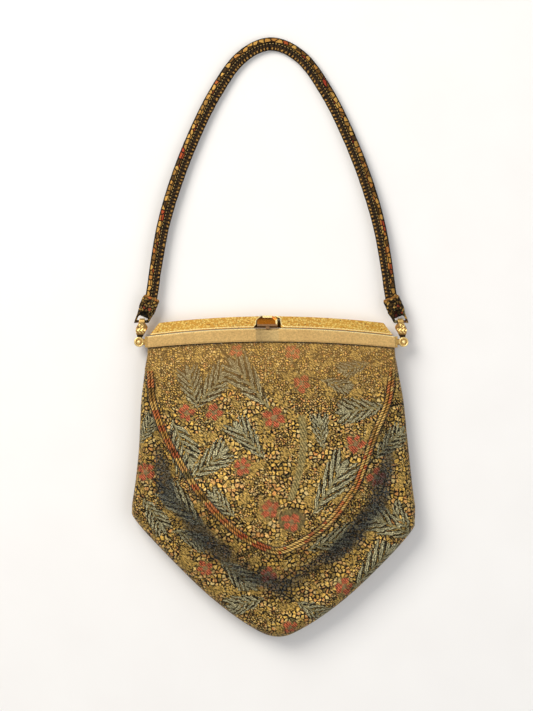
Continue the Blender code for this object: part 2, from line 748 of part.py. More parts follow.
def make_sleeve(name, side):
    """A cloth sleeve on the strap's end, with a hole that the link's neck passes through."""
    thin = 2 * BAR_RADIUS
    # Each row: its distance along the sleeve, its share of the full width, its depth, and its
    # share of the full lean.
    rows = (
        (-1.2 * BAR_RADIUS, 0.94, thin, 0.0), (BAR_RADIUS, 1.0, thin, 0.0),
        (0.5 * HOLE_LENGTH, 1.0, thin * 1.05, 0.2), (HOLE_LENGTH, 0.98, thin * 1.5, 0.5),
        (HOLE_LENGTH + SLEEVE_SHOULDER, 0.97, SLEEVE_DEPTH * 0.95, 0.7),
        (0.75 * SLEEVE_LENGTH, 0.96, SLEEVE_DEPTH, 0.9), (SLEEVE_LENGTH, 0.97, SLEEVE_DEPTH, 1.0),
    )
    rings = [
        sleeve_ring(side, up, SLEEVE_WIDTH * share, depth, SLEEVE_LEAN * turn)
        for up, share, depth, turn in rows
    ]
    sleeve = add_mesh(name, loft(rings), DARK_BROCADE)
    z = lug_z()
    hole_rows = (
        (-3 * BAR_RADIUS, HOLE_WIDTH, HOLE_OUTWARD), (0.5 * HOLE_LENGTH, HOLE_WIDTH, HOLE_OUTWARD),
        (HOLE_LENGTH, HOLE_TOP_WIDTH, 0.0),
    )
    hole_rings = []
    for up, width, outward in hole_rows:
        x = LINK_NECK_X + outward - math.sin(SLEEVE_LEAN) * up
        y = PIVOT_Y + up * math.cos(SLEEVE_LEAN)
        corners = ((-1, -1), (1, -1), (1, 1), (-1, 1))
        hole_rings.append([
            (side * (x + sx * width / 2), y, z + sz * SLEEVE_DEPTH) for sx, sz in corners
        ])
    boolean(sleeve, add_cutter(name + "_hole", loft(hole_rings)))
    bar_x = side * (LINK_NECK_X + HOLE_OUTWARD)
    bar = cylinder((bar_x, PIVOT_Y, z), BAR_RADIUS, HOLE_WIDTH + 2 * BAR_SEAT, "X", segments=12)
    boolean(sleeve, add_cutter(name + "_bar", bar), "UNION")
    points = strap_points()
    end, before = (points[-1], points[-2]) if side > 0 else (points[0], points[1])
    pocket = loft([strap_ring(end, end - before, step, GAP) for step in (-POCKET_DEPTH, 2 * OVERCUT)])
    boolean(sleeve, add_cutter(name + "_pocket", pocket))


def sleeve_top():
    up = SLEEVE_LENGTH
    return Vector((LINK_NECK_X - math.sin(SLEEVE_LEAN) * up, PIVOT_Y + up * math.cos(SLEEVE_LEAN)))


def strap_points():
    """The strap's centre line, from inside the left sleeve over the arch to the right one."""
    start = sleeve_top()
    arch = HANDLE_REACH - STRAP_WIDTH / 2
    right = [(start.x + STRAP_TUCK_X, start.y - STRAP_TUCK_Y)]
    right += [(share * start.x, mix(start.y, arch, rise)) for share, rise in STRAP_PATH]
    whole = [(-x, y) for x, y in right] + [(0.0, arch)] + list(reversed(right))
    points = []
    for i in range(STRAP_STEPS + 1):
        x, y = spline(whole, (len(whole) - 1) * i / STRAP_STEPS)
        points.append(Vector((x, y, handle_tilt_z(y))))
    return points


def strap_width(y):
    return mix(STRAP_END_WIDTH, STRAP_WIDTH, smooth((y - sleeve_top().y) / STRAP_WIDENS_OVER))


def strap_ring(point, along, step=0.0, grow=0.0):
    """A section of the strap across its path, moved along it and grown for a fit."""
    along = along.normalized()
    across = Vector((-along.y, along.x, 0)).normalized()
    width = strap_width(point.y) + 2 * grow
    depth = strap_width(point.y) * STRAP_HEIGHT_SHARE + 2 * grow
    center = point + along * step
    return [center + across * x + Vector((0, 0, z)) for x, z in rounded_section(width, depth, 2.6, 8)]


def make_strap():
    points = strap_points()
    rings = []
    for i, point in enumerate(points):
        before, after = points[max(0, i - 1)], points[min(len(points) - 1, i + 1)]
        rings.append(strap_ring(point, after - before))
    add_mesh("handle_strap", loft(rings), BROCADE)


def piping_at(s):
    x, depth = spline(PIPING_LINE, s)
    return Vector((x * HALF, HINGE_Y - GAP - depth * PANEL_DEPTH))


PIPING_SPOTS = [piping_at(i / 4) for i in range(4 * STATIONS + 1)]


def rim_at(s):
    x, depth = spline(RIM_LINE, s)
    reach = mix(HALF, BAG_WIDTH / 2, min(1.0, depth / CORNER_AT))
    return Vector((x * reach, HINGE_Y - GAP - depth * BODY_DEPTH))


def along_body(s):
    """0 at either hinge, 1 at the point of the bag."""
    return 1 - abs(2 * s / STATIONS - 1)


def piping_height(s):
    return FRONT_HINGE_Z + PIPING_RISE * smooth(along_body(s) * PIPING_CLIMB)


def rim_height(s):
    return mix(RIM_HINGE_Z, RIM_Z, smooth(along_body(s) * RIM_CLIMB))


def back_edge_height(distance):
    """Height of the back cloth at a distance from its piping, where it is lifted."""
    return BACK_EDGE_Z * (1 - smooth(distance / BACK_EDGE_WIDTH))


def row_width(s):
    return (piping_at(STATIONS - s) - piping_at(s)).length


def crown(s):
    """How far the front panel swells above its piping, on the row at s."""
    wide = row_width(s) / row_width(0)
    return PANEL_CROWN * mix(PANEL_CROWN_AT_HINGE, 1.0, smooth(s / 4)) * wide**0.8


def panel_point(s, u, front):
    """A point of a panel's outer face on the row that joins the piping at s to its partner."""
    a, b = piping_at(s), piping_at(STATIONS - s)
    flat = a.lerp(b, u)
    if front:
        z = mix(piping_height(s), piping_height(STATIONS - s), u) + crown(s) * (4 * u * (1 - u)) ** 0.8
    else:
        near = min((flat - spot).length for spot in PIPING_SPOTS)
        z = max(back_edge_height(near - PIPING_SPACING), FLAP_BACK_Z * (1 - smooth(s / 0.8)))
    return Vector((flat.x, flat.y, z))


def add_cloth(name, bm, material, thickness):
    """Makes a cloth shell of its outer face, thickened inwards."""
    mesh = bpy.data.meshes.new(name)
    bm.to_mesh(mesh)
    bm.free()
    obj = bpy.data.objects.new(name, mesh)
    PARTS.objects.link(obj)
    mesh.materials.append(material)
    solid = obj.modifiers.new("Cloth", "SOLIDIFY")
    solid.thickness = thickness
    solid.offset = -1.0
    solid.use_even_offset = True


def grid_shell(name, grid, material):
    """A cloth shell from rows of points on its outer face."""
    bm = bmesh.new()
    rows = [[bm.verts.new(point) for point in row] for row in grid]
    for low, high in zip(rows, rows[1:]):
        for i in range(len(low) - 1):
            bm.faces.new((low[i], low[i + 1], high[i + 1], high[i]))
    bmesh.ops.remove_doubles(bm, verts=bm.verts, dist=WELD)
    add_cloth(name, bm, material, FABRIC)


def across_panel(count=10):
    return [i / count for i in range(count + 1)]


def make_panel(name, front):
    apex = STATIONS / 2
    grid = []
    rows = [i / COLUMNS_PER_STATION for i in range(int(apex * COLUMNS_PER_STATION))]
    for s in rows + [apex - PANEL_TIP]:
        row = [panel_point(s, u, front) for u in across_panel()]
        grid.append(row if front else row[::-1])
    grid_shell(name, grid[::-1], BROCADE)


def flap_point(x_share, rise, front):
    """The cloth between the hinge line at 0 and its tucked edge in the band's slot at 1."""
    low = panel_point(0.0, (x_share + 1) / 2, front)
    low.y += GAP
    top_x = x_share * (HALF - FLAP_SIDE)
    mouth_y = band_bottom(top_x) - FLAP_MOUTH
    slot_z = SLOT_FACE_Z if front else flipped(SLOT_FACE_Z)
    mouth_rise = FLAP_RISES[-2]
    if rise > mouth_rise:
        return Vector((top_x, band_bottom(top_x) + FLAP_TUCK, slot_z))
    share = rise / mouth_rise
    x = mix(low.x, top_x, share)
    y = mix(low.y, mouth_y, share)
    z = mix(low.z, slot_z, smooth(share))
    return Vector((x, y, z))


def make_flap(name, front):
    grid = []
    for rise in FLAP_RISES:
        row = [flap_point(2 * u - 1, rise, front) for u in across_panel()]
        grid.append(row if front else row[::-1])
    grid_shell(name, grid, BROCADE)


def gusset_row(s, front):
    """The gusset's section from the piping out to the seam on the bag's outline."""
    inner, outer = piping_at(s), rim_at(s)
    across = outer - inner
    width = across.length
    unit = across / width
    rounding = min(FRONT_ROUNDING if front else BACK_ROUNDING, ROUNDING_SHARE * width)
    flat = width - rounding
    points = []
    for i in range(4):
        distance = mix(GAP + GUSSET_TUCK, flat, i / 4)
        if front:
            reach = distance / flat
            dip = VALLEY * smooth(along_body(s) * RIM_CLIMB) * math.sin(math.pi * reach**VALLEY_SKEW)
            z = mix(piping_height(s), rim_height(s), smooth(reach)) - dip
        else:
            z = back_edge_height(distance)
        points.append((distance, z))
    flat_z = rim_height(s) if front else back_edge_height(flat)
    seam_z = SEAM_Z + (SEAM_GAP if front else -SEAM_GAP) / 2
    for i in range(5):
        a = math.pi / 2 * i / 4
        points.append((flat + rounding * math.sin(a), mix(seam_z, flat_z, math.cos(a))))
    return [Vector((inner.x + unit.x * d, inner.y + unit.y * d, z)) for d, z in points]


def make_gusset(name, front):
    count = STATIONS * COLUMNS_PER_STATION
    grid = [gusset_row(i / COLUMNS_PER_STATION, front) for i in range(count + 1)]
    if not front:
        grid = grid[::-1]
    grid_shell(name, grid, DARK_BROCADE)


def make_piping(name, front, outer):
    """A cord that lies along the seam of panel and gusset."""
    count = STATIONS * COLUMNS_PER_STATION
    points = []
    for i in range(1, count):
        s = i / COLUMNS_PER_STATION
        ahead = piping_at(min(STATIONS, s + 0.25)) - piping_at(max(0, s - 0.25))
        normal = Vector((ahead.y, -ahead.x)).normalized()
        spot = piping_at(s) + normal * (PIPING_SPACING / 2 * (1 if outer else -1))
        lift = PIPING_RADIUS + PIPING_CLEAR
        if front:
            z = piping_height(s) + lift + (0.0 if outer else PIPING_STEP)
        else:
            z = BACK_EDGE_Z - lift
        points.append((spot.x, spot.y, z))
    curve = bpy.data.curves.new(name, "CURVE")
    curve.dimensions = "3D"
    line = curve.splines.new("POLY")
    line.points.add(len(points) - 1)
    for point, co in zip(line.points, points):
        point.co = (*co, 1)
    curve.bevel_depth = PIPING_RADIUS
    curve.bevel_resolution = 2
    curve.use_fill_caps = True
    curve.materials.append(BROCADE)
    PARTS.objects.link(bpy.data.objects.new(name, curve))


def make_lining():
    """A thin pouch inside the cloth, open at the hinge line."""
    bm = bmesh.new()
    loops = []
    for s in range(STATIONS // 2):
        left, right = rim_at(s), rim_at(STATIONS - s)
        middle = (left + right) / 2
        middle.y = mix(middle.y, HINGE_Y, LINING_END / BODY_DEPTH)
        half = (right - left) / 2
        clear = mix(LINING_SIDE, LINING_CLEAR, smooth(s / 2))
        half = half * (1 - clear / half.length)
        height = LINING_HALF_HEIGHT * (1 - (2 * s / STATIONS) ** 6)
        loop = []
        for i in range(LINING_POINTS):
            a = 2 * math.pi * i / LINING_POINTS
            spot = middle + half * math.cos(a)
            rise = math.copysign(abs(math.sin(a)) ** 0.7, math.sin(a))
            loop.append(bm.verts.new((spot.x, spot.y, LINING_Z + height * rise)))
        loops.append(loop)
    for low, high in zip(loops, loops[1:]):
        for i in range(LINING_POINTS):
            j = (i + 1) % LINING_POINTS
            bm.faces.new((low[j], low[i], high[i], high[j]))
    bm.faces.new(loops[-1])
    bmesh.ops.recalc_face_normals(bm, faces=bm.faces)
    add_cloth("lining", bm, LINING_CLOTH, LINING)


def hang_on(name, position, pieces):
    """Parents moving pieces to an empty on their joint's axis, without moving them."""
    empty = bpy.data.objects.new(name, None)
    empty.empty_display_size = PIVOT_Y
    empty.location = position
    PARTS.objects.link(empty)
    for piece in pieces:
        obj = bpy.data.objects[piece]
        obj.parent = empty
        obj.matrix_parent_inverse = Matrix.Translation(-empty.location)


def hang_moving_pieces():
    hang_on("frame_hinge", (0, *hinge_point()), (
        "front_band", "catch_plate", "front_arm_left", "front_arm_right", "front_flap",
    ))
    hang_on("clasp_hinge", (CLASP_X, *clasp_pivot()), ("clasp_lever",))
    hang_on("handle_hinge", (0, PIVOT_Y, lug_z()), (
        "handle_strap", "handle_sleeve_left", "handle_sleeve_right",
    ))
    hang_on("link_swivel_left", (-LUG_X, LUG_Y, lug_z()), ("handle_link_left",))
    hang_on("link_swivel_right", (LUG_X, LUG_Y, lug_z()), ("handle_link_right",))


def build():
    make_front_band()
    make_catch_plate()
    make_band("back_band", front=False)
    make_roof()
    make_lever()
    make_clasp_pin()
    make_clasp_spring()
    for label, side in (("left", -1), ("right", 1)):
        make_arm(f"front_arm_{label}", side, front=True)
        make_arm(f"back_arm_{label}", side, front=False)
        make_hinge_rivet(f"hinge_rivet_{label}", side)
        make_lug(f"handle_lug_{label}", side)
        make_lug_rivet(f"lug_rivet_{label}", side)
        make_link(f"handle_link_{label}", side)
        make_sleeve(f"handle_sleeve_{label}", side)
    make_strap()
    make_flap("front_flap", front=True)
    make_panel("front_panel", front=True)
    make_flap("back_flap", front=False)
    make_panel("back_panel", front=False)
    make_gusset("gusset_front", front=True)
    make_gusset("gusset_back", front=False)
    for face, front in (("front", True), ("back", False)):
        make_piping(f"piping_{face}_inner", front, outer=False)
        make_piping(f"piping_{face}_outer", front, outer=True)
    make_lining()
    hang_moving_pieces()


build()
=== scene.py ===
import math

import bmesh
import bpy
from mathutils import Matrix, Vector, kdtree, noise


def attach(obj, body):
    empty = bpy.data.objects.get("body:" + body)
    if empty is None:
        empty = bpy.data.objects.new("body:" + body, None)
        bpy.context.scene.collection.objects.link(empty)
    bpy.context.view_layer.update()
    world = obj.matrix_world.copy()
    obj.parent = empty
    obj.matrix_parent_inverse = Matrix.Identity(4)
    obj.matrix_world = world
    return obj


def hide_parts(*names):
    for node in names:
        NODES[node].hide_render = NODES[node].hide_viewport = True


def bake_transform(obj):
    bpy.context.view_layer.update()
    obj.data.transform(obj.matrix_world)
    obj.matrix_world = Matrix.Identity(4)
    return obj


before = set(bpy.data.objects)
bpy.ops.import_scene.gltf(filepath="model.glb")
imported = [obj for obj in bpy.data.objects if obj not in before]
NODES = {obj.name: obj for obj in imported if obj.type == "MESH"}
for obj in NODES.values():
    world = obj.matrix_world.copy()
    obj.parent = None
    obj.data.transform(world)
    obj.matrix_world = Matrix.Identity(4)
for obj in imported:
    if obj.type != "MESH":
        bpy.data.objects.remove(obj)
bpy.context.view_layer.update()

# Sizes that the dressed pieces share with the frame, in metres
GAP = 0.0003
HALF_FRAME = 0.095
FRAME_BACK = 0.0008
FRAME_FRONT = 0.0206
FRAME_MIDDLE = (FRAME_BACK + FRAME_FRONT) / 2
BAND_RISE = 0.0062
BAND_HEIGHT = 0.0100
BAND_END_HEIGHT = 0.0086
SLOT_CLOTH = 0.01945
ROOF_GAP = 0.0008
ROOF_HEIGHT = 0.0086
ROOF_FOOT = 0.0198
ROOF_RIDGE = 0.0122
ROOF_HALF = 0.093
ROOF_SLANT = 0.0070
CLASP_X = -0.0030
NOTCH = 0.0103
HINGE_Y = -0.026
BAG_HALF = 0.109
BODY_DEPTH = 0.2042
PANEL_DEPTH = 0.1367
CORNER_AT = 0.51
SEAM_Z = 0.0112
FABRIC = 0.0012
FRONT_HINGE_Z = 0.0215
PIPING_RISE = 0.0145
PANEL_CROWN = 0.0062
RIM_Z = 0.0245
RIM_HINGE_Z = 0.0190
VALLEY = 0.0050
FRONT_ROUNDING = 0.0100
BACK_ROUNDING = 0.0160
BACK_EDGE_Z = 0.0031
BACK_EDGE_WIDTH = 0.008
PIPING_RADIUS = 0.00115
PIPING_SPACING = 0.0026
LUG_X = 0.1014
LUG_Y = -0.0041
LUG_Z = 0.0102
PIVOT_Y = 0.0116
NECK_X = 0.0993
STRAP_WIDTH = 0.0102
STRAP_END_WIDTH = 0.0092
STRAP_SHARE = 0.55
HANDLE_REACH = 0.2305
SLEEVE_LENGTH = 0.0200
SLEEVE_LEAN = math.radians(22.5)
STRAP_PATH = (
    (0.989, 0.044), (0.973, 0.102), (0.909, 0.276), (0.802, 0.451),
    (0.659, 0.625), (0.477, 0.800), (0.258, 0.944),
)
PIPING_LINE = (
    (-0.975, 0.000), (-0.953, 0.168), (-0.864, 0.344), (-0.726, 0.516), (-0.632, 0.622),
    (-0.563, 0.688), (-0.432, 0.794), (-0.263, 0.902), (-0.095, 0.969), (0.063, 1.000),
    (0.211, 0.961), (0.368, 0.894), (0.516, 0.796), (0.616, 0.702), (0.674, 0.644),
    (0.747, 0.519), (0.832, 0.351), (0.935, 0.176), (0.975, 0.000),
)
RIM_LINE = (
    (-1.021, 0.000), (-1.016, 0.123), (-0.988, 0.280), (-0.981, 0.418), (-0.983, 0.511),
    (-0.959, 0.560), (-0.752, 0.683), (-0.440, 0.845), (-0.156, 0.958), (0.046, 1.000),
    (0.239, 0.963), (0.514, 0.860), (0.789, 0.722), (0.986, 0.604), (1.013, 0.555),
    (1.016, 0.418), (1.026, 0.251), (1.035, 0.113), (1.024, 0.000),
)
STATIONS = len(PIPING_LINE) - 1
BACK_CLOTH_Y = -0.245
CATCH_HALF = 0.0171 / 2
BOSS_MOUTH = 0.0032

# The woven motifs, in millimetres on the flat cloth: where each flower sits and its radius,
# and where each leaf spray starts and ends
FLOWERS = (
    (2, -62, 9.0), (23, -36, 7.5), (16, -12, 6.5), (-27, -11, 6.0), (-65, -58, 7.0), (-44, -58, 7.0),
    (-22, -99, 7.5), (64, -82, 8.0), (-1, -131, 8.0), (15, -141, 8.0), (79, -107, 8.0),
    (55, -190, 7.5), (-95, -103, 8.0), (-2, -180, 7.0), (-50, -176, 6.5), (14, -221, 6.0),
)
LEAF_SPRAYS = (
    (-57, -53, -65, -23), (-56, -52, -34, -26), (-5, -51, -32, -18), (-74, -68, -58, -104),
    (-60, -107, -33, -85), (-7, -91, -28, -66), (83, -54, 50, -58), (39, -84, 36, -60),
    (34, -131, 57, -96), (80, -90, 101, -70), (107, -151, 73, -136), (106, -150, 88, -128),
    (66, -188, 98, -156), (22, -203, 46, -216), (-53, -142, -80, -117), (-95, -126, -80, -149),
    (-36, -172, -12, -192), (-72, -148, -50, -158), (72, -21, 50, -28), (-8, -200, -34, -206),
    (30, -160, 58, -150), (-100, -80, -88, -60), (-30, -135, -48, -118), (40, -34, 62, -40),
)

# What the brocade reads from each point: the pale top, the shadows and the lit outline
SHADE_LAYERS = ("haze", "gloom", "rim")


def mix(a, b, share):
    return a + (b - a) * share


def smooth(share):
    share = min(1.0, max(0.0, share))
    return share * share * (3 - 2 * share)


def spline(points, at):
    """A smooth curve through the points, where at counts them from 0."""
    last = len(points) - 1
    i = max(0, min(int(at), last - 1))
    t = at - i
    p1, p2 = Vector(points[i]), Vector(points[i + 1])
    p0 = Vector(points[i - 1]) if i > 0 else 2 * p1 - p2
    p3 = Vector(points[i + 2]) if i + 2 <= last else 2 * p2 - p1
    return 0.5 * (
        2 * p1 + (p2 - p0) * t + (2 * p0 - 5 * p1 + 4 * p2 - p3) * t**2
        + (3 * p1 - p0 - 3 * p2 + p3) * t**3
    )


def flipped(z):
    return FRAME_BACK + FRAME_FRONT - z


def band_top(x):
    return BAND_RISE * (1 - (x / HALF_FRAME) ** 2)


def band_bottom(x):
    return band_top(x) - mix(BAND_HEIGHT, BAND_END_HEIGHT, (x / HALF_FRAME) ** 2)


def linear(red, green, blue):
    """A colour as the eye names it, 0 to 255, in the renderer's units."""
    return tuple(
        (c / 255 / 12.92 if c <= 10 else ((c / 255 + 0.055) / 1.055) ** 2.4) for c in (red, green, blue)
    ) + (1.0,)


# Materials


class Strand:
    """A shader socket that takes part in Python arithmetic."""

    def __init__(self, recipe, socket):
        self.recipe = recipe
        self.socket = socket

    def maths(self, operation, other=None, swapped=False):
        pair = [self] if other is None else ([other, self] if swapped else [self, other])
        return self.recipe.node("ShaderNodeMath", {"operation": operation}, dict(enumerate(pair)))

    def __add__(self, other):
        return self.maths("ADD", other)

    def __radd__(self, other):
        return self.maths("ADD", other)

    def __sub__(self, other):
        return self.maths("SUBTRACT", other)

    def __rsub__(self, other):
        return self.maths("SUBTRACT", other, swapped=True)

    def __mul__(self, other):
        return self.maths("MULTIPLY", other)

    def __truediv__(self, other):
        return self.maths("DIVIDE", other)

    def __pow__(self, other):
        return self.maths("POWER", other)

    def __lt__(self, other):
        return self.maths("LESS_THAN", other)

    def __gt__(self, other):
        return self.maths("GREATER_THAN", other)

    def __abs__(self):
        return self.maths("ABSOLUTE")


class Recipe:
    """One procedural material, built node by node."""

    def __init__(self, name):
        self.material = bpy.data.materials.new(name)
        self.material.use_nodes = True
        self.tree = self.material.node_tree
        self.shader = self.tree.nodes["Principled BSDF"]

    def node(self, kind, settings=None, values=None, output=0):
        """Adds a node: its settings first, then its sockets' values or links. Gives its output."""
        made = self.tree.nodes.new(kind)
        for key, value in (settings or {}).items():
            setattr(made, key, value)
        for key, value in (values or {}).items():
            if isinstance(value, Strand):
                self.tree.links.new(value.socket, made.inputs[key])
            else:
                made.inputs[key].default_value = value
        if isinstance(output, tuple):
            return tuple(Strand(self, made.outputs[name]) for name in output)
        return Strand(self, made.outputs[output])

    def dye(self, mask, under, over):
        """The colour under, with over where the mask is 1. A fixed colour is given as linear takes it."""
        under, over = (linear(*color) if isinstance(color, tuple) else color for color in (under, over))
        return self.node("ShaderNodeMix", {"data_type": "RGBA"}, {0: mask, 6: under, 7: over}, 2)

    def ramp(self, share, *stops):
        """A colour for each share from 0 to 1. The stops are (share, red, green, blue)."""
        color = self.node("ShaderNodeValToRGB", {}, {0: share})
        elements = color.socket.node.color_ramp.elements
        while len(elements) < len(stops):
            elements.new(0.5)
        for element, (at, *named) in zip(elements, stops):
            element.position = at
            element.color = linear(*named)
        return color

    def between(self, share, a, b):
        return self.node("ShaderNodeMix", {}, {0: share, 2: a, 3: b})

    def parts(self, vector, names):
        return self.node("ShaderNodeSeparateXYZ", {}, {0: vector}, names)

    def channels(self, color, names="Red"):
        return self.node("ShaderNodeSeparateColor", {}, {0: color}, names)

    def painted(self, layer):
        """The number that paint keeps for each point."""
        return self.node("ShaderNodeAttribute", {"attribute_name": layer}, {}, "Fac")

    def shaded(self, color, amount):
        """The colour with its brightness times the amount."""
        grey = self.node("ShaderNodeCombineColor", {}, {0: amount, 1: amount, 2: amount})
        return self.node(
            "ShaderNodeMix", {"data_type": "RGBA", "blend_type": "MULTIPLY"}, {0: 1.0, 6: color, 7: grey}, 2
        )

    def vector(self, operation, *values, output=0):
        return self.node("ShaderNodeVectorMath", {"operation": operation}, dict(enumerate(values)), output)

    def grown(self, vector, factor):
        return self.node("ShaderNodeVectorMath", {"operation": "SCALE"}, {0: vector, "Scale": factor})

    def step(self, value, low, high):
        """0 below low, 1 above high, and smooth between them."""
        return self.node(
            "ShaderNodeMapRange", {"interpolation_type": "SMOOTHSTEP"}, {0: value, 1: low, 2: high}
        )

    def wave(self, value, length):
        """A sine of the value, from 0 to 1, of the given wavelength."""
        return (value * (2 * math.pi / length)).maths("SINE") * 0.5 + 0.5

    def grain(self, place, scale, detail=2.0, output="Fac"):
        values = {"Vector": place, "Scale": scale, "Detail": detail}
        return self.node("ShaderNodeTexNoise", {}, values, output)

    def cells(self, place, size, feature="F1", flat=True, loose=1.0, output="Distance"):
        settings = {"feature": feature, "voronoi_dimensions": "2D" if flat else "3D"}
        values = {"Vector": place, "Scale": 1 / size, "Randomness": loose}
        return self.node("ShaderNodeTexVoronoi", settings, values, output)

    def object_place(self):
        """The place on the piece, in millimetres."""
        return self.grown(self.node("ShaderNodeTexCoord", {}, {}, "Object"), 1000.0)

    def cloth_place(self):
        """The place on the flat cloth, in millimetres."""
        return self.grown(self.node("ShaderNodeUVMap", {"uv_map": "cloth"}), 1000.0)

    def finish(self, color, roughness, metallic, height=None, depth=0.0001, strength=1.0, **flat):
        sockets = self.shader.inputs
        for key, value in (("Base Color", color), ("Roughness", roughness), ("Metallic", metallic)):
            if isinstance(value, Strand):
                self.tree.links.new(value.socket, sockets[key])
            else:
                sockets[key].default_value = value
        for key, value in flat.items():
            sockets[key.replace("_", " ")].default_value = value
        if height is not None:
            values = {"Height": height, "Distance": depth, "Strength": strength}
            bump = self.node("ShaderNodeBump", {}, values)
            self.tree.links.new(bump.socket, sockets["Normal"])
        return self.material


def nearest(r, place, motifs):
    """The place on the nearest motif, along and across it from its middle, and its kind.

    Each motif is (x, y, turn, size, kind), and its size is the unit of the place.
    """
    best, found = None, None
    for x, y, turn, size, kind in motifs:
        offset = r.vector("SUBTRACT", place, (x, y, 0))
        away = r.vector("LENGTH", offset, output="Value") * (1 / size)
        ahead = (math.cos(turn) / size, math.sin(turn) / size, 0)
        beside = (-ahead[1], ahead[0], 0)
        along = r.vector("DOT_PRODUCT", offset, ahead, output="Value")
        across = r.vector("DOT_PRODUCT", offset, beside, output="Value")
        if best is None:
            best, found = away, [along, across, along * 0 + kind]
            continue
        closer = away < best
        found = [r.between(closer, old, new) for old, new in zip(found, (along, across, kind))]
        best = away.maths("MINIMUM", best)
    return found


def leaf_pattern(r, place):
    """Leaf sprays: masks of the leaflets and their dark outline, and the ribs along them."""
    sprays = [
        ((x0 + x1) / 2, (y0 + y1) / 2, math.atan2(y1 - y0, x1 - x0), math.hypot(x1 - x0, y1 - y0), i % 3)
        for i, (x0, y0, x1, y1) in enumerate(LEAF_SPRAYS)
    ]
    from_middle, across, kind = nearest(r, place, sprays)
    along = from_middle + 0.5
    side = abs(across)
    start = along - side * (1.05 + kind * 0.30) - side * side * 1.2
    inside = (start + 0.12).maths("MAXIMUM", 0.0).maths("MINIMUM", 1.0)
    envelope = (inside * math.pi).maths("SINE").maths("MAXIMUM", 0.0).maths("SQRT") * 0.30 + 0.01
    share = side / envelope
    leaflet = (start * (6.0 - kind * 0.8) + (across > 0.0) * 0.45).maths("FRACT") - 0.5
    lens = (share * (1.03 - share) * 4).maths("MAXIMUM", 0.0) ** 0.55 * 0.33
    within = (start > -0.12) * (start < 0.80) * (share < 1.0)
    edge = lens - abs(leaflet)
    tip_share = (along - 0.66) / 0.40
    tip = (tip_share * (1 - tip_share) * 4).maths("MAXIMUM", 0.0) ** 0.6 * 0.060 - side
    leaf = (r.step(edge, 0.0, 0.05) * within).maths("MAXIMUM", r.step(tip, 0.0, 0.01))
    outline = (r.step(edge, -0.22, -0.08) * within).maths("MAXIMUM", r.step(tip, -0.03, -0.01))
    ribs = r.wave(leaflet / (lens + 0.05), 0.80)
    stem = (side < 0.018) * (along > -0.10) * (along < 0.80)
    return leaf, outline, ribs, stem


def flower_pattern(r, place, ragged):
    """Flowers: masks of the petals, of the halo round them and of the heart."""
    flowers = [(x, y, i * 1.3, radius, i % 2) for i, (x, y, radius) in enumerate(FLOWERS)]
    x, y, kind = nearest(r, place, flowers)
    away = (x * x + y * y * 1.25).maths("SQRT") + (ragged - 0.5) * 0.85
    petals = 2.5 - kind * 0.5
    lobe = abs((y.maths("ARCTAN2", x) * petals + x * 0.9).maths("COSINE")) + (ragged - 0.5) * 0.5
    petal = r.step(0.60 + lobe * 0.42 - away, 0.0, 0.05) * r.step(lobe, 0.26, 0.36)
    halo = r.step(1.10 - away, 0.0, 0.10)
    heart = 1 - r.step(away, 0.24, 0.32)
    return petal, halo, heart


def branch_pattern(r, x, y):
    """The olive branch down the middle, and the dark patch at its foot."""
    drift = (y + 78) * (y + 78) * 0.0048
    branch = r.step(abs(x - 24.4 + drift), 3.2, 2.2) * (y < -60.0) * (y > -124.0)
    px, py = (x - 15.5) / 11.0, (y + 139.5) / 9.0
    patch = 1 - r.step(px * px + py * py, 0.75, 1.05)
    return branch, patch


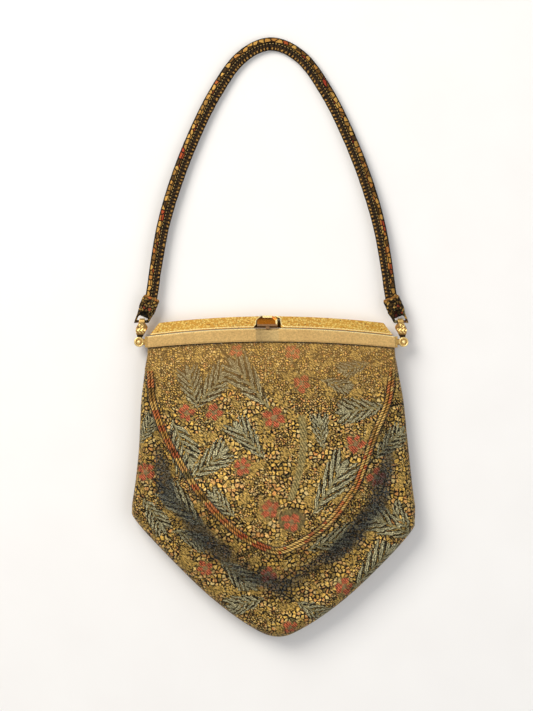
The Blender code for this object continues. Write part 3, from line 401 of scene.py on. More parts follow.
def brocade(r, place, haze, gloom, rim):
    """The woven cloth: its colour, its relief and how much of it is metal thread."""
    threads = r.vector("SNAP", place, (0.45, 0.32, 1.0))
    sway = r.channels(r.grain(threads, 0.35, 2.0, "Color"), ("Red", "Green"))
    wobble = r.node("ShaderNodeCombineXYZ", {}, {0: sway[0] - 0.5, 1: sway[1] - 0.5})
    loose = r.vector("ADD", threads, r.grown(wobble, 2.8))
    x, y = r.parts(place, ("X", "Y"))
    slanted = r.node(
        "ShaderNodeMapping", {"vector_type": "TEXTURE"},
        {"Vector": threads, "Rotation": (0, 0, -0.72), "Scale": (2.6, 0.62, 1.0)},
    )
    hatch = r.grain(slanted, 1.0, 2.0)
    speck = r.grain(threads, 1.25, 3.0)
    coarse = r.vector("SNAP", place, (0.9, 0.65, 1.0))
    pick = r.node("ShaderNodeTexWhiteNoise", {"noise_dimensions": "2D"}, {"Vector": coarse})
    crowd = r.step(r.grain(place, 0.050, 1.0) + haze * 0.30, 0.46, 0.60)
    inside, number = None, None
    for size in (3.1, 1.8):
        gap = r.cells(loose, size, "DISTANCE_TO_EDGE", loose=0.85) * size
        tint = r.channels(r.cells(loose, size, loose=0.85, output="Color"))
        inside = gap if inside is None else r.between(crowd, inside, gap)
        number = tint if number is None else r.between(crowd, number, tint)
    pebble = r.step(inside + (hatch - 0.5) * 1.7 + (speck - 0.5) * 0.8 - (1 - crowd) * 0.10, 0.26, 0.52)
    gold = r.ramp(
        number,
        (0.0, 98, 86, 50), (0.25, 178, 140, 66), (0.46, 212, 170, 82),
        (0.66, 186, 164, 108), (0.84, 190, 130, 68), (1.0, 222, 188, 112),
    )
    color = r.dye(pebble, (15, 12, 7), gold)
    rice = r.step(r.grain(place, 0.085, 1.0), 0.55, 0.62)
    grains = r.dye(r.step(hatch, 0.42, 0.54), (40, 34, 20), (182, 148, 76))
    color = r.dye(rice * 0.9, color, grains)
    shine = pebble
    branch, patch = branch_pattern(r, x, y)
    lines = r.wave(x * 0.9 + y * 0.45 + hatch * 3.0, 1.9)
    color = r.dye(branch * 0.85, color, r.dye(lines, (70, 62, 36), (154, 138, 88)))
    color = r.dye(patch * 0.85, color, r.dye(hatch, (62, 52, 32), (118, 102, 64)))
    leaf, outline, ribs, stem = leaf_pattern(r, r.vector("ADD", threads, r.grown(wobble, 3.4)))
    blade = r.dye(ribs * r.step(speck, 0.34, 0.50), (30, 29, 22), (208, 198, 152))
    blade = r.dye(r.step(hatch, 0.54, 0.66) * 0.5, blade, (96, 96, 74))
    color = r.dye(outline * 0.94, color, (14, 12, 8))
    color = r.dye(leaf * (0.92 - haze * 0.45), color, blade)
    color = r.dye(stem * 0.8, color, (132, 122, 84))
    petal, halo, heart = flower_pattern(r, r.vector("ADD", threads, r.grown(wobble, 4.5)), speck)
    weft = r.step(r.wave(x + y * 0.95 + hatch * 2.2, 1.9) + (speck - 0.5) * 0.8, 0.34, 0.56)
    ground = r.dye(r.step(hatch, 0.4, 0.6), (44, 38, 24), (134, 118, 72))
    color = r.dye(halo * 0.60, color, ground)
    petal = petal * r.step(speck, 0.30, 0.42)
    coral = r.dye(hatch, (176, 74, 46), (226, 118, 80))
    color = r.dye(petal * 0.90, color, r.dye(weft, (58, 34, 22), coral))
    color = r.dye(heart * 0.8, color, r.dye(speck, (70, 68, 48), (150, 138, 92)))
    relief = pebble * (1 - outline) * (1 - halo * 0.5) + leaf * (0.35 + ribs * 0.6) + petal * weft * 0.8
    shine = shine * (1 - leaf * 0.4) * (1 - petal * 0.7)
    color = r.shaded(color, speck * 1.70 + pick * 0.80 + hatch * 0.50 - 0.40)
    haze_tint = r.dye(hatch, (130, 94, 44), (232, 180, 98))
    color = r.dye(haze * 0.28, color, haze_tint)
    # Painted shade: in the shaded places the cloth turns near black, flecked with painted grey glints.
    dark = r.step(gloom + (hatch - 0.5) * 0.9 + (speck - 0.5) * 0.6, 0.30, 0.75)
    glint = r.step(speck * 0.7 + pick * 0.3 + hatch * 0.3, 0.62, 0.80)
    painted_shade_tone = r.dye(glint, (17, 15, 14), (112, 118, 116))
    color = r.dye(dark * 0.72, color, painted_shade_tone)
    # Painted shade darkens the shaded places; painted light brightens the lit outline a little.
    color = r.shaded(color, (1 - gloom * 0.46) * (1 + rim * 0.05))
    return color, relief + hatch * 0.4 + pick * 0.3, shine


def brocade_finish(name, tone=1.0):
    r = Recipe(name)
    haze, gloom, rim = (r.painted(layer) for layer in SHADE_LAYERS)
    color, relief, shine = brocade(r, r.cloth_place(), haze, gloom, rim)
    # A tone below 1 darkens the whole piece: painted shade on the back and the gusset.
    color = r.shaded(color, r.grain(r.cloth_place(), 0.05, 1.0) * 0.2 + (tone - 0.1))
    return r.finish(
        color, 0.62 - shine * 0.18, shine * 0.30, relief, 0.00024, 0.9,
        Sheen_Weight=0.03, Sheen_Roughness=0.4, Specular_IOR_Level=0.10,
    )


def corded_finish():
    """Brocade on the bias, wound round a cord: threads slant across it, with coral stretches."""
    r = Recipe("piping_brocade")
    place = r.cloth_place()
    along, around = r.parts(place, ("X", "Y"))
    twist = r.wave(along + around * 0.9 + r.grain(place, 0.5) * 1.6, 2.4)
    block = r.cells(r.vector("MULTIPLY", place, (0.16, 0.02, 0.0)), 1.0, output="Color")
    number, other = r.channels(block, ("Red", "Green"))
    gold = r.ramp(
        number,
        (0.0, 92, 72, 38), (0.4, 190, 142, 68), (0.7, 224, 184, 106),
        (1.0, 112, 96, 56),
    )
    coral = r.step(r.grain(place, 0.03, 1.0) * 0.6 + other * 0.5, 0.50, 0.66)
    color = r.dye(coral * 0.70, gold, (188, 84, 50))
    color = r.dye(r.step(twist, 0.05, 0.55), (20, 14, 8), color)
    color = r.shaded(color, r.grain(place, 1.2, 3.0) * 1.7 + 0.10)
    # Painted shade: the cord's underside turns near black.
    under = r.step(abs(around - 1.8), 1.5, 2.6)
    color = r.dye(under * 0.8, color, (16, 12, 8))
    return r.finish(color, 0.55, 0.25, twist, 0.00025, 0.9, Specular_IOR_Level=0.10)


def strap_finish():
    """The strap's face: bright gold blocks outside, a stitched line, and dark ribs inside."""
    r = Recipe("strap_brocade")
    place = r.cloth_place()
    along, across = r.parts(place, ("X", "Y"))
    speck = r.grain(place, 1.3, 3.0)
    drift = r.grain(place, 0.10, 1.0) * 6.0 + (speck - 0.5) * 0.8
    stretched = r.vector("ADD", r.vector("MULTIPLY", place, (0.24, 0.36, 0.0)), (0.0, 0.2, 0.0))
    cell = r.cells(stretched, 1.0, "DISTANCE_TO_EDGE", loose=0.8)
    tint = r.cells(stretched, 1.0, loose=0.8, output="Color")
    number = r.channels(tint)
    blocks = r.step(cell + (speck - 0.5) * 0.10, 0.05, 0.15) * r.step(abs(across - 2.7), 1.9, 1.3)
    bright = r.ramp(
        number,
        (0.0, 72, 52, 26), (0.28, 150, 106, 46), (0.5, 226, 176, 88),
        (0.72, 206, 150, 70), (0.88, 196, 104, 50), (0.95, 178, 66, 42),
        (1.0, 110, 84, 44),
    )
    color = r.dye(blocks, (10, 7, 4), bright)
    ribs = r.wave(along + drift, 2.7) * r.step(speck, 0.40, 0.62)
    under = r.dye(ribs, (12, 8, 5), (104, 76, 38))
    knots = r.step(abs(across + 3.6), 1.1, 0.4) * r.step(r.wave(along + drift, 3.1), 0.55, 0.8)
    under = r.dye(knots, under, (206, 154, 78))
    inner = r.step(across, 0.5, 0.0)
    color = r.dye(inner, color, under)
    stitched = r.step(abs(across - 0.2), 0.75, 0.4)
    stitch = r.step(abs(across - 0.2), 0.40, 0.2) * r.step(r.wave(along, 2.4), 0.35, 0.6)
    color = r.dye(stitched, color, (17, 12, 7))
    color = r.dye(stitch * 0.9, color, (206, 172, 104))
    color = r.shaded(color, speck * 1.6 - 0.16)
    relief = blocks + ribs * inner * 0.5 + knots - stitched + stitch * 1.2
    return r.finish(color, 0.55, blocks * 0.3, relief, 0.0004, 1.0, Specular_IOR_Level=0.10)


def sleeve_finish():
    r = Recipe("sleeve_brocade")
    place = r.object_place()
    speck = r.grain(place, 1.2, 3.0)
    loose = r.vector("ADD", place, r.grown(r.grain(place, 0.7, 2.0, "Color"), 1.6))
    cell = r.cells(loose, 2.3, "DISTANCE_TO_EDGE", flat=False) * 2.3
    tint = r.cells(loose, 2.3, flat=False, output="Color")
    number = r.channels(tint)
    gold = r.ramp(
        number,
        (0.0, 52, 40, 22), (0.30, 128, 98, 48), (0.55, 196, 154, 80),
        (0.80, 120, 112, 74), (0.92, 188, 84, 54), (1.0, 96, 78, 42),
    )
    pebble = r.step(cell, 0.16, 0.42)
    color = r.dye(pebble, (24, 18, 11), gold)
    gloom = r.painted("gloom")
    trim = r.painted("rim")
    color = r.dye(trim * 0.45, color, r.dye(speck, (150, 84, 28), (236, 172, 84)))
    # Painted shade darkens the sleeve's hole.
    color = r.shaded(color, (speck * 1.2 + 0.25) * (1 - gloom * 0.88))
    return r.finish(color, 0.58, pebble * 0.25, pebble + speck * 0.5, 0.0003, 1.0, Specular_IOR_Level=0.10)


def satin_finish():
    r = Recipe("lining_satin")
    place = r.object_place()
    warp = r.wave(r.parts(place, "X") + r.grain(place, 0.3) * 1.5, 0.7)
    fold = r.grain(place, 0.05, 3.0)
    # Painted shade and light: the satin is darker where the fold bumps sink and paler where they rise.
    color = r.dye(fold, (120, 88, 48), (168, 130, 78))
    color = r.shaded(color, warp * 0.12 + 0.9)
    return r.finish(color, 0.42 + fold * 0.1, 0.0, warp * 0.4 + fold * 4, 0.0004, 0.5, Sheen_Weight=0.2)


def stippled_gold():
    """The bands: matte gold with a fine speckle, a little darker over the catch plate, most at its left."""
    r = Recipe("stippled_gold")
    place = r.object_place()
    fine = r.grain(place, 2.2, 3.0)
    cloud = r.grain(place, 0.05, 2.0)
    x = r.parts(place, "X")
    over_catch = 1 - r.step(abs(x - CLASP_X * 1000), 8.0, 9.4)
    coarse = r.grain(place, 0.8, 3.0)
    color = r.dye(cloud, (190, 152, 92), (214, 178, 112))
    catch_tone = r.dye(r.step(x, -9.0, 5.0), (158, 134, 88), (196, 168, 112))
    color = r.dye(over_catch * 0.75, color, catch_tone)
    color = r.shaded(color, fine * 0.40 + coarse * 0.9 + 0.28)
    return r.finish(color, 0.42 + fine * 0.14, 0.66, fine, 0.00008, 0.8)


def florentine_gold():
    """The roof: bright gold worked all over with a short irregular grain and small pits."""
    r = Recipe("florentine_gold")
    place = r.object_place()
    bent = r.vector("ADD", place, r.grown(r.grain(place, 0.8, 2.0, "Color"), 1.4))
    worm = r.cells(bent, 1.7, flat=False)
    pit = r.step(r.cells(place, 3.0, flat=False) * 3.0 + r.grain(place, 1.5) * 0.5, 0.62, 0.90)
    fine = r.grain(place, 1.3, 3.0)
    cloud = r.grain(place, 0.04, 1.0)
    color = r.dye(r.step(worm, 0.20, 0.62), (255, 228, 134), (206, 144, 54))
    color = r.dye(cloud * 0.4, color, (250, 204, 88))
    color = r.dye(pit, (136, 78, 22), color)
    color = r.shaded(color, fine * 0.9 + 0.55)
    relief = (1 - worm) * 0.8 + pit * 0.8 + fine * 0.4
    return r.finish(color, 0.32 + worm * 0.15, 0.68, relief, 0.00025, 1.0)


def rim_gold(name, metallic):
    r = Recipe(name)
    place = r.object_place()
    fine = r.grain(place, 1.5, 3.0)
    color = r.dye(fine, (236, 206, 128), (255, 236, 176))
    return r.finish(color, 0.22 + fine * 0.12, metallic, fine, 0.00003, 0.5)


def polished_brass():
    """The lever: polished, darker towards the ridge and stained by handling."""
    r = Recipe("polished_brass")
    place = r.object_place()
    brushed = r.grain(r.vector("MULTIPLY", place, (0.25, 3.0, 3.0)), 1.0, 3.0)
    worn = r.grain(place, 0.25, 3.0)
    y = r.parts(place, "Y")
    color = r.dye(worn, (176, 98, 10), (206, 128, 24))
    color = r.dye(r.step(y, 11.5, 15.2), color, (96, 52, 10))
    color = r.shaded(color, brushed * 0.26 + 0.86)
    return r.finish(color, 0.18 + brushed * 0.14, 0.80, brushed, 0.00002, 0.5)


def tarnished_brass():
    """The lever's lip and tongue, dulled to a brown."""
    r = Recipe("tarnished_brass")
    fine = r.grain(r.object_place(), 1.6, 3.0)
    color = r.dye(fine, (118, 84, 52), (168, 128, 88))
    return r.finish(color, 0.35 + fine * 0.15, 0.7, fine, 0.00003, 0.5)


def cast_gold(name, scroll=None):
    """Cast gold-tone metal, dark in its hollows. A scroll is a raised spiral on a link's leaf."""
    r = Recipe(name)
    place = r.object_place()
    mottled = r.grain(place, 0.7, 3.0)
    fine = r.grain(place, 3.0, 2.0)
    color = r.dye(mottled, (182, 132, 60), (240, 206, 128))
    relief = fine * 0.2 + mottled * 0.3
    if scroll:
        here = r.vector("SUBTRACT", place, (scroll[0] * 1000, scroll[1] * 1000, 0.0))
        x, y, z = r.parts(here, ("X", "Y", "Z"))
        away = (x * x + y * y).maths("SQRT")
        spiral = r.wave(away - y.maths("ARCTAN2", x) * 0.23, 1.45) * r.step(away, 2.5, 2.0)
        curls = r.wave(x * 0.8 - abs(y + 4.0) * 0.7, 2.1) * r.step(y, -1.9, -2.4) * r.step(y, -6.2, -5.4)
        carved = (spiral + curls) * (z > 11.2)
        field = r.step(y, 3.0, 2.2) * (z > 11.2)
        dark = field * (1 - r.step(carved, 0.15, 0.6))
        color = r.dye(dark * 0.72, color, (104, 66, 24))
        color = r.dye(r.step(carved, 0.6, 0.95) * 0.5, color, (255, 232, 160))
        shadow = r.step(z, 11.0, 10.2) * r.step(y, -5.0, -6.4)
        color = r.dye(shadow * 0.94, color, (16, 11, 7))
        rear = r.step(z, 10.6, 9.6) * (1 - shadow)
        color = r.dye(rear * 0.6, color, (168, 100, 28))
        relief = relief + carved * 1.5
    color = r.shaded(color, fine * 0.3 + 0.86)
    return r.finish(color, 0.26 + mottled * 0.14, 0.78, relief, 0.00020, 0.9)


def plain_steel():
    r = Recipe("pin_steel")
    fine = r.grain(r.object_place(), 2.0, 2.0)
    color = r.dye(fine, (120, 112, 98), (170, 160, 142))
    return r.finish(color, 0.3 + fine * 0.1, 0.9, fine, 0.00002, 0.5)


# Mesh helpers


def settle(name, bm, finish, smooth_faces=True):
    """Makes a piece of the bmesh, with its finish."""
    mesh = bpy.data.meshes.new(name)
    bm.to_mesh(mesh)
    bm.free()
    piece = bpy.data.objects.new(name, mesh)
    bpy.context.scene.collection.objects.link(piece)
    mesh.materials.append(finish)
    if smooth_faces:
        mesh.shade_smooth()
    return piece


def woven(columns, rows, place, cloth):
    """A grid of cloth: place gives a point's position and cloth its place on the flat cloth."""
    bm = bmesh.new()
    layer = bm.loops.layers.uv.new("cloth")
    bmesh.ops.create_grid(bm, x_segments=columns, y_segments=rows, size=0.5)
    shares = {vert: (vert.co.x + 0.5, vert.co.y + 0.5) for vert in bm.verts}
    for face in bm.faces:
        for loop in face.loops:
            loop[layer].uv = cloth(*shares[loop.vert])
    for vert, share in shares.items():
        vert.co = place(*share)
    return bm


def paint(piece, name, amount):
    """Keeps a number from 0 to 1 for each point, which a finish can read."""
    values = piece.data.attributes.new(name, "FLOAT", "POINT")
    for point, value in zip(piece.data.vertices, values.data):
        value.value = amount(point.co)


def made_fast(piece):
    """Applies the modifiers of a piece."""
    graph = bpy.context.evaluated_depsgraph_get()
    mesh = bpy.data.meshes.new_from_object(piece.evaluated_get(graph), depsgraph=graph)
    piece.modifiers.clear()
    piece.data = mesh


def thickened(piece, thickness, levels=0):
    solid = piece.modifiers.new("Cloth", "SOLIDIFY")
    solid.thickness = thickness
    solid.offset = -1.0
    if levels:
        fine = piece.modifiers.new("Fine", "SUBSURF")
        fine.levels = fine.render_levels = levels
    made_fast(piece)


def rod(name, points, radius, finish, around=8):
    """A round bar through the points, as a mesh with a place along and around it."""
    count = len(points)
    sides = []
    up = Vector((0, 0, 1))
    for i, point in enumerate(points):
        along = (points[min(count - 1, i + 1)] - points[max(0, i - 1)]).normalized()
        across = along.cross(up)
        if across.length < 1e-4:
            across = along.cross(Vector((0, 1, 0)))
        across.normalize()
        sides.append((across, across.cross(along).normalized()))
    lengths = [0.0]
    for a, b in zip(points, points[1:]):
        lengths.append(lengths[-1] + (b - a).length)

    def place(u, v):
        i = min(count - 1, round(v * (count - 1)))
        angle = 2 * math.pi * u
        return points[i] + (sides[i][0] * math.cos(angle) + sides[i][1] * math.sin(angle)) * radius

    def cloth(u, v):
        return lengths[min(count - 1, round(v * (count - 1)))], u * 2 * math.pi * radius

    bm = woven(around, count - 1, place, cloth)
    bmesh.ops.remove_doubles(bm, verts=bm.verts, dist=1e-7)
    ends = [edge for edge in bm.edges if edge.is_boundary]
    bmesh.ops.holes_fill(bm, edges=ends, sides=0)
    bmesh.ops.recalc_face_normals(bm, faces=bm.faces)
    return settle(name, bm, finish)


# The soft body


def piping_at(s):
    x, depth = spline(PIPING_LINE, s)
    return Vector((x * HALF_FRAME, HINGE_Y - GAP - depth * PANEL_DEPTH))


def rim_at(s):
    x, depth = spline(RIM_LINE, s)
    reach = mix(HALF_FRAME, BAG_HALF, min(1.0, depth / CORNER_AT))
    return Vector((x * reach, HINGE_Y - GAP - depth * BODY_DEPTH))


def along_body(s):
    return 1 - abs(2 * s / STATIONS - 1)


def piping_height(s):
    return FRONT_HINGE_Z + PIPING_RISE * smooth(along_body(s) * 1.5)


def row_width(s):
    return (piping_at(STATIONS - s) - piping_at(s)).length


def crown(s):
    wide = row_width(s) / row_width(0)
    return PANEL_CROWN * (0.45 + 0.55 * smooth(s / 4)) * wide**0.8


def spot_finder(spots):
    """Gives a function for the distance, in plan, from a point to the nearest of the spots."""
    tree = kdtree.KDTree(len(spots))
    for i, spot in enumerate(spots):
        tree.insert((spot.x, spot.y, 0), i)
    tree.balance()
    return lambda point: tree.find((point.x, point.y, 0))[2]


from_piping = spot_finder([piping_at(i / 8) for i in range(8 * STATIONS + 1)])
from_rim = spot_finder([rim_at(i / 8) for i in range(8 * STATIONS + 1)])


def panel_point(s, u, front):
    a, b = piping_at(s), piping_at(STATIONS - s)
    flat = a.lerp(b, u)
    if front:
        z = mix(piping_height(s), piping_height(STATIONS - s), u) + crown(s) * (4 * u * (1 - u)) ** 0.8
    else:
        near = from_piping(flat)
        z = BACK_EDGE_Z * (1 - smooth((near - PIPING_SPACING) / BACK_EDGE_WIDTH))
        z = max(z, 0.0012 * (1 - smooth(s / 0.8)))
    return Vector((flat.x, flat.y, z))


def flap_point(x_share, rise, front):
    low = panel_point(0.0, (x_share + 1) / 2, front)
    top_x = x_share * (HALF_FRAME - 0.0008)
    mouth_y = band_bottom(top_x) - 0.0012
    top_y = band_bottom(top_x) + 0.0040
    slot_z = SLOT_CLOTH if front else flipped(SLOT_CLOTH)
    if rise > 0.75:
        return Vector((top_x, mix(mouth_y, top_y, (rise - 0.75) / 0.25), slot_z))
    share = rise / 0.75
    return Vector((
        mix(low.x, top_x, share), mix(low.y, mouth_y, share), mix(low.z, slot_z, smooth(share)),
    ))


FLAP_ROWS = 10
PANEL_ROWS = 46


def face_point(u, v, front):
    """A point of the cloth from the point of the panel at 0 up to the frame at 1."""
    rows = FLAP_ROWS + PANEL_ROWS
    row = v * rows
    if row <= PANEL_ROWS:
        s = (STATIONS / 2) * (1 - row / PANEL_ROWS)
        return panel_point(min(s, STATIONS / 2 - 0.06), u, front)
    return flap_point(2 * u - 1, (row - PANEL_ROWS) / FLAP_ROWS, front)


def shade(piece, **layers):
    """Paints every layer that the brocade reads, from 0 to 1."""
    for layer in SHADE_LAYERS:
        paint(piece, layer, layers.get(layer, lambda co: 0.0))


def make_front_cloth():
    def place(u, v):
        point = face_point(u, v, True)
        near = from_piping(point)
        if point.y < HINGE_Y:
            swell = smooth(near / 0.012) * smooth((HINGE_Y - point.y) / 0.01)
            point.z += 0.0010 * swell * noise.noise(Vector((point.x, point.y, 0)) * 30)
            point.z += 0.0003 * swell * noise.noise(Vector((point.x, point.y, 1)) * 110)
            point.z -= 0.0010 * (1 - smooth(near / 0.004))
        return point

    def cloth(u, v):
        point = face_point(u, v, True)
        return point.x, point.y

    # Painted shade under the band and beside the piping.
    def gloom(co):
        under_band = band_bottom(co.x) - co.y
        beside = 0.95 * (1 - smooth((from_piping(co) - 0.0022) / 0.0022)) * smooth((HINGE_Y - co.y) / 0.004)
        return max(beside, 0.85 * (1 - smooth((under_band - 0.0004) / 0.0016)))

    bm = woven(72, FLAP_ROWS + PANEL_ROWS, place, cloth)
    piece = settle("front_cloth", bm, FINISH["front"])
    thickened(piece, FABRIC, levels=1)
    shade(piece, gloom=gloom, haze=lambda co: smooth((co.y + 0.066) / 0.06))
    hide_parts("front_flap", "front_panel")
    fold_with_front(piece)


def fold_with_front(piece):
    """Bakes the cloth's transform into its mesh."""
    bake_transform(piece)


def hem_gloom(co):
    """Painted shade beside the front flap's edge, and dimmer all over behind the frame's middle."""
    if co.z <= FRAME_MIDDLE:
        return 0.25
    return 0.5 * smooth((0.0975 - abs(co.x)) / 0.003 - 0.2) * smooth((FRAME_FRONT - 0.002 - co.z) / 0.006)


def make_flap_hems():
    """The cloth's turned edges between the hinge line and the band, which hide the side arms."""
    for face, front in (("front", True), ("back", False)):
        for label, side in (("left", -1), ("right", 1)):
            middle = FRAME_MIDDLE + (0.0005 if front else -0.0005)

            def place(u, v, side=side, front=front, middle=middle):
                rise = v * 0.75
                edge = flap_point(side, rise, front)
                edge.y = mix(HINGE_Y - 0.0016, band_bottom(side * HALF_FRAME) + 0.0001, v)
                outer = side * mix(0.0972, 0.0948, smooth(v * 1.15))
                if u < 0.2:
                    share = u / 0.2
                    inner = Vector((edge.x - side * 0.0014 * (1 - share), edge.y, edge.z))
                    inner.z -= (0.0003 if front else -0.0003) * (1 - share)
                    return inner
                a = (u - 0.2) / 0.8 * math.pi / 2
                x = mix(edge.x, outer, math.sin(a))
                z = mix(middle, edge.z, math.cos(a) ** 0.8)
                pucker = 0.0003 * noise.noise(Vector((u * 4, v * 9, side)))
                return Vector((x + side * pucker, edge.y, z + pucker))

            def cloth(u, v, side=side, front=front, place=place):
                point = place(0.0, v)
                x = point.x + side * u * 0.011
                return (x, point.y) if front else (-x, BACK_CLOTH_Y - point.y)

            bm = woven(14, 16, place, cloth)
            if (side > 0) != front:
                bmesh.ops.reverse_faces(bm, faces=bm.faces)
            piece = settle(f"{face}_hem_{label}", bm, FINISH["gusset"])
            thickened(piece, 0.0006, levels=1)
            shade(piece, haze=lambda co: 0.8, gloom=hem_gloom)
            if front:
                fold_with_front(piece)
            else:
                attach(piece, "root")


def make_back_cloth():
    def place(u, v):
        return face_point(1 - u, v, False)

    def cloth(u, v):
        point = face_point(1 - u, v, False)
        return -point.x, BACK_CLOTH_Y - point.y

    bm = woven(60, FLAP_ROWS + PANEL_ROWS, place, cloth)
    piece = settle("back_cloth", bm, FINISH["back"])
    thickened(piece, FABRIC, levels=1)
    # Painted shade beside the piping.
    shade(piece, haze=lambda co: 0.5 * smooth((co.y + 0.06) / 0.05),
          gloom=lambda co: 0.8 * (1 - smooth((from_piping(co) - 0.0022) / 0.0022)))
    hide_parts("back_flap", "back_panel")
    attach(piece, "root")


def gusset_section(s, front, share):
    """A point of the gusset's section, 0 at the piping and 1 on the outline."""
    inner, outer = piping_at(s), rim_at(s)
    across = outer - inner
    width = across.length
    unit = across / width
    start = (GAP + 0.8 * FABRIC) / width
    rounding = min(FRONT_ROUNDING if front else BACK_ROUNDING, 0.55 * width)
    flat_share = 1 - rounding / width
    body = smooth(along_body(s) * 1.6)
    rim = mix(RIM_HINGE_Z, RIM_Z, body)
    turn = rounding * math.pi / 2
    run = (flat_share - start) * width
    reach = share * (run + turn)
    if reach < run:
        at = start + reach / width
        part = at / flat_share
        if front:
            z = mix(piping_height(s), rim, smooth(part)) - VALLEY * body * math.sin(math.pi * part**1.3)
        else:
            z = BACK_EDGE_Z * (1 - smooth(at * width / BACK_EDGE_WIDTH))
        distance = at * width
    else:
        a = (reach - run) / turn * math.pi / 2
        flat_z = rim if front else BACK_EDGE_Z * (1 - smooth(flat_share * width / BACK_EDGE_WIDTH))
        distance = width - rounding + rounding * math.sin(a)
        z = mix(SEAM_Z, flat_z, math.cos(a))
    return Vector((inner.x + unit.x * distance, inner.y + unit.y * distance, z)), unit, reach


def make_gusset_cloth():
    half_rows = 26

    def point_at(u, v):
        """v runs from the front piping at 0 over the outline at 0.5 to the back piping at 1."""
        s = STATIONS * u
        if v <= 0.5:
            return gusset_section(s, True, v * 2)
        return gusset_section(s, False, (1 - v) * 2)

    def place(u, v):
        point, unit, reach = point_at(u, v)
        seam = 1 - smooth(abs(v - 0.5) * 2 * half_rows / 1.6)
        point.x -= unit.x * 0.0005 * seam
        point.y -= unit.y * 0.0005 * seam
        edge = min(v, 1 - v) * 2 * half_rows
        if v < 0.5:
            calm = smooth(edge / 3) * (1 - seam)
            fold = noise.noise(Vector((point.x, point.y, 0)) * 34)
            cross = noise.noise(Vector((u * 70, v * 5, 2.0)))
            point.z += calm * (0.0013 * fold + 0.0007 * cross)
        point.z -= 0.0009 * (1 - smooth(edge / 2)) * (1 if v < 0.5 else -0.2)
        return point

    def cloth(u, v):
        s = STATIONS * u
        inner, outer = piping_at(s), rim_at(s)
        unit = (outer - inner).normalized()
        _, _, reach = point_at(u, min(v, 0.5))
        beyond = 0.0
        if v > 0.5:
            _, _, back = point_at(u, v)
            _, _, whole = point_at(u, 0.5001)
            beyond = whole - back
        run = reach + beyond
        return inner.x + unit.x * run, inner.y + unit.y * run

    bm = woven(180, 2 * half_rows, place, cloth)
    bmesh.ops.reverse_faces(bm, faces=bm.faces)
    piece = settle("gusset_cloth", bm, FINISH["gusset"])
    thickened(piece, FABRIC)
    shade(piece, gloom=gusset_gloom, rim=gusset_painted_light)
    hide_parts("gusset_front", "gusset_back")
    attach(piece, "root")


def gusset_share(co):
    """Where a point lies between the piping at 0 and the outline at 1, and the width there."""
    near, out = from_piping(co), from_rim(co)
    return near / (near + out), near, near + out


# Painted shade: dark along the seam, dim below it, a dark valley along the gusset and dark beside the
# piping.
def gusset_gloom(co):
    share, near, width = gusset_share(co)
    seam = 0.9 * (1 - smooth(abs(co.z - SEAM_Z) / 0.0007))
    if co.z < SEAM_Z:
        return max(seam, 0.25)
    fold = noise.noise(Vector((co.x, co.y, 5)) * 38)
    deep = smooth(1.15 - abs(share - 0.42 + 0.12 * fold) / 0.26) * smooth((width - 0.010) / 0.030)
    deep *= 0.35 + 0.65 * smooth(0.62 + 1.3 * noise.noise(Vector((co.x, co.y, 9)) * 24))
    beside = 0.9 * (1 - smooth((near - 0.0022) / 0.0025))
    return min(1.0, max(seam, beside, 0.92 * deep))


# Painted light on the gusset's lit outer rim.
def gusset_painted_light(co):
    share, _, width = gusset_share(co)
    return smooth((share - 0.55) / 0.25) * smooth((width - 0.006) / 0.01) if co.z > SEAM_Z + 0.003 else 0.0


def make_piping():
    count = STATIONS * 10
    for face, front in (("front", True), ("back", False)):
        for label, sign in (("inner", -1), ("outer", 1)):
            points = []
            for i in range(count + 1):
                s = i / 10
                ahead = piping_at(min(STATIONS, s + 0.25)) - piping_at(max(0, s - 0.25))
                normal = Vector((ahead.y, -ahead.x)).normalized()
                spot = piping_at(s) + normal * PIPING_SPACING / 2 * sign
                if front:
                    z = piping_height(s) + (0.0003 if sign > 0 else 0.0008)
                else:
                    z = BACK_EDGE_Z - 0.0009
                points.append(Vector((spot.x, spot.y, z)))
            piece = rod(f"piping_{face}_{label}_cord", points, PIPING_RADIUS, FINISH["piping"], 12)
            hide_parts(f"piping_{face}_{label}")
            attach(piece, "root")


def make_lining_cloth():
    """The pouch inside, gathered a little at its mouth."""
    def place(u, v):
        s = v * (STATIONS / 2 - 1)
        left, right = rim_at(s), rim_at(STATIONS - s)
        middle = (left + right) / 2
        middle.y = mix(middle.y, HINGE_Y, 0.0060 / BODY_DEPTH)
        half = (right - left) / 2
        clear = mix(0.0105, 0.0050, smooth(s / 2)) + 0.0006
        half = half * (1 - clear / half.length)
        height = 0.0076 * (1 - (2 * s / STATIONS) ** 6) - 0.0002
        angle = 2 * math.pi * u
        spot = middle + half * math.cos(angle)
        rise = math.copysign(abs(math.sin(angle)) ** 0.7, math.sin(angle))
        pleat = 0.0002 * math.sin(angle * 60) * (1 - v)
        return Vector((spot.x, spot.y, 0.0121 + (height + pleat) * rise))

    def cloth(u, v):
        return u * 0.4, v * 0.2

    bm = woven(128, 36, place, cloth)
    bmesh.ops.remove_doubles(bm, verts=bm.verts, dist=1e-6)
    tip = [edge for edge in bm.edges if edge.is_boundary and edge.verts[0].co.y < -0.2]
    bmesh.ops.holes_fill(bm, edges=tip, sides=0)
    bmesh.ops.recalc_face_normals(bm, faces=bm.faces)
    piece = settle("lining_pouch", bm, FINISH["lining"])
    thickened(piece, 0.0006)
    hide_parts("lining")
    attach(piece, "root")


# The handle


def handle_z(y):
    rest = 0.0005 + STRAP_WIDTH * STRAP_SHARE / 2
    top = HANDLE_REACH - STRAP_WIDTH / 2
    return mix(LUG_Z, rest, (y - PIVOT_Y) / (top - PIVOT_Y))


def sleeve_top():
    return Vector((
        NECK_X - math.sin(SLEEVE_LEAN) * SLEEVE_LENGTH, PIVOT_Y + SLEEVE_LENGTH * math.cos(SLEEVE_LEAN),
    ))


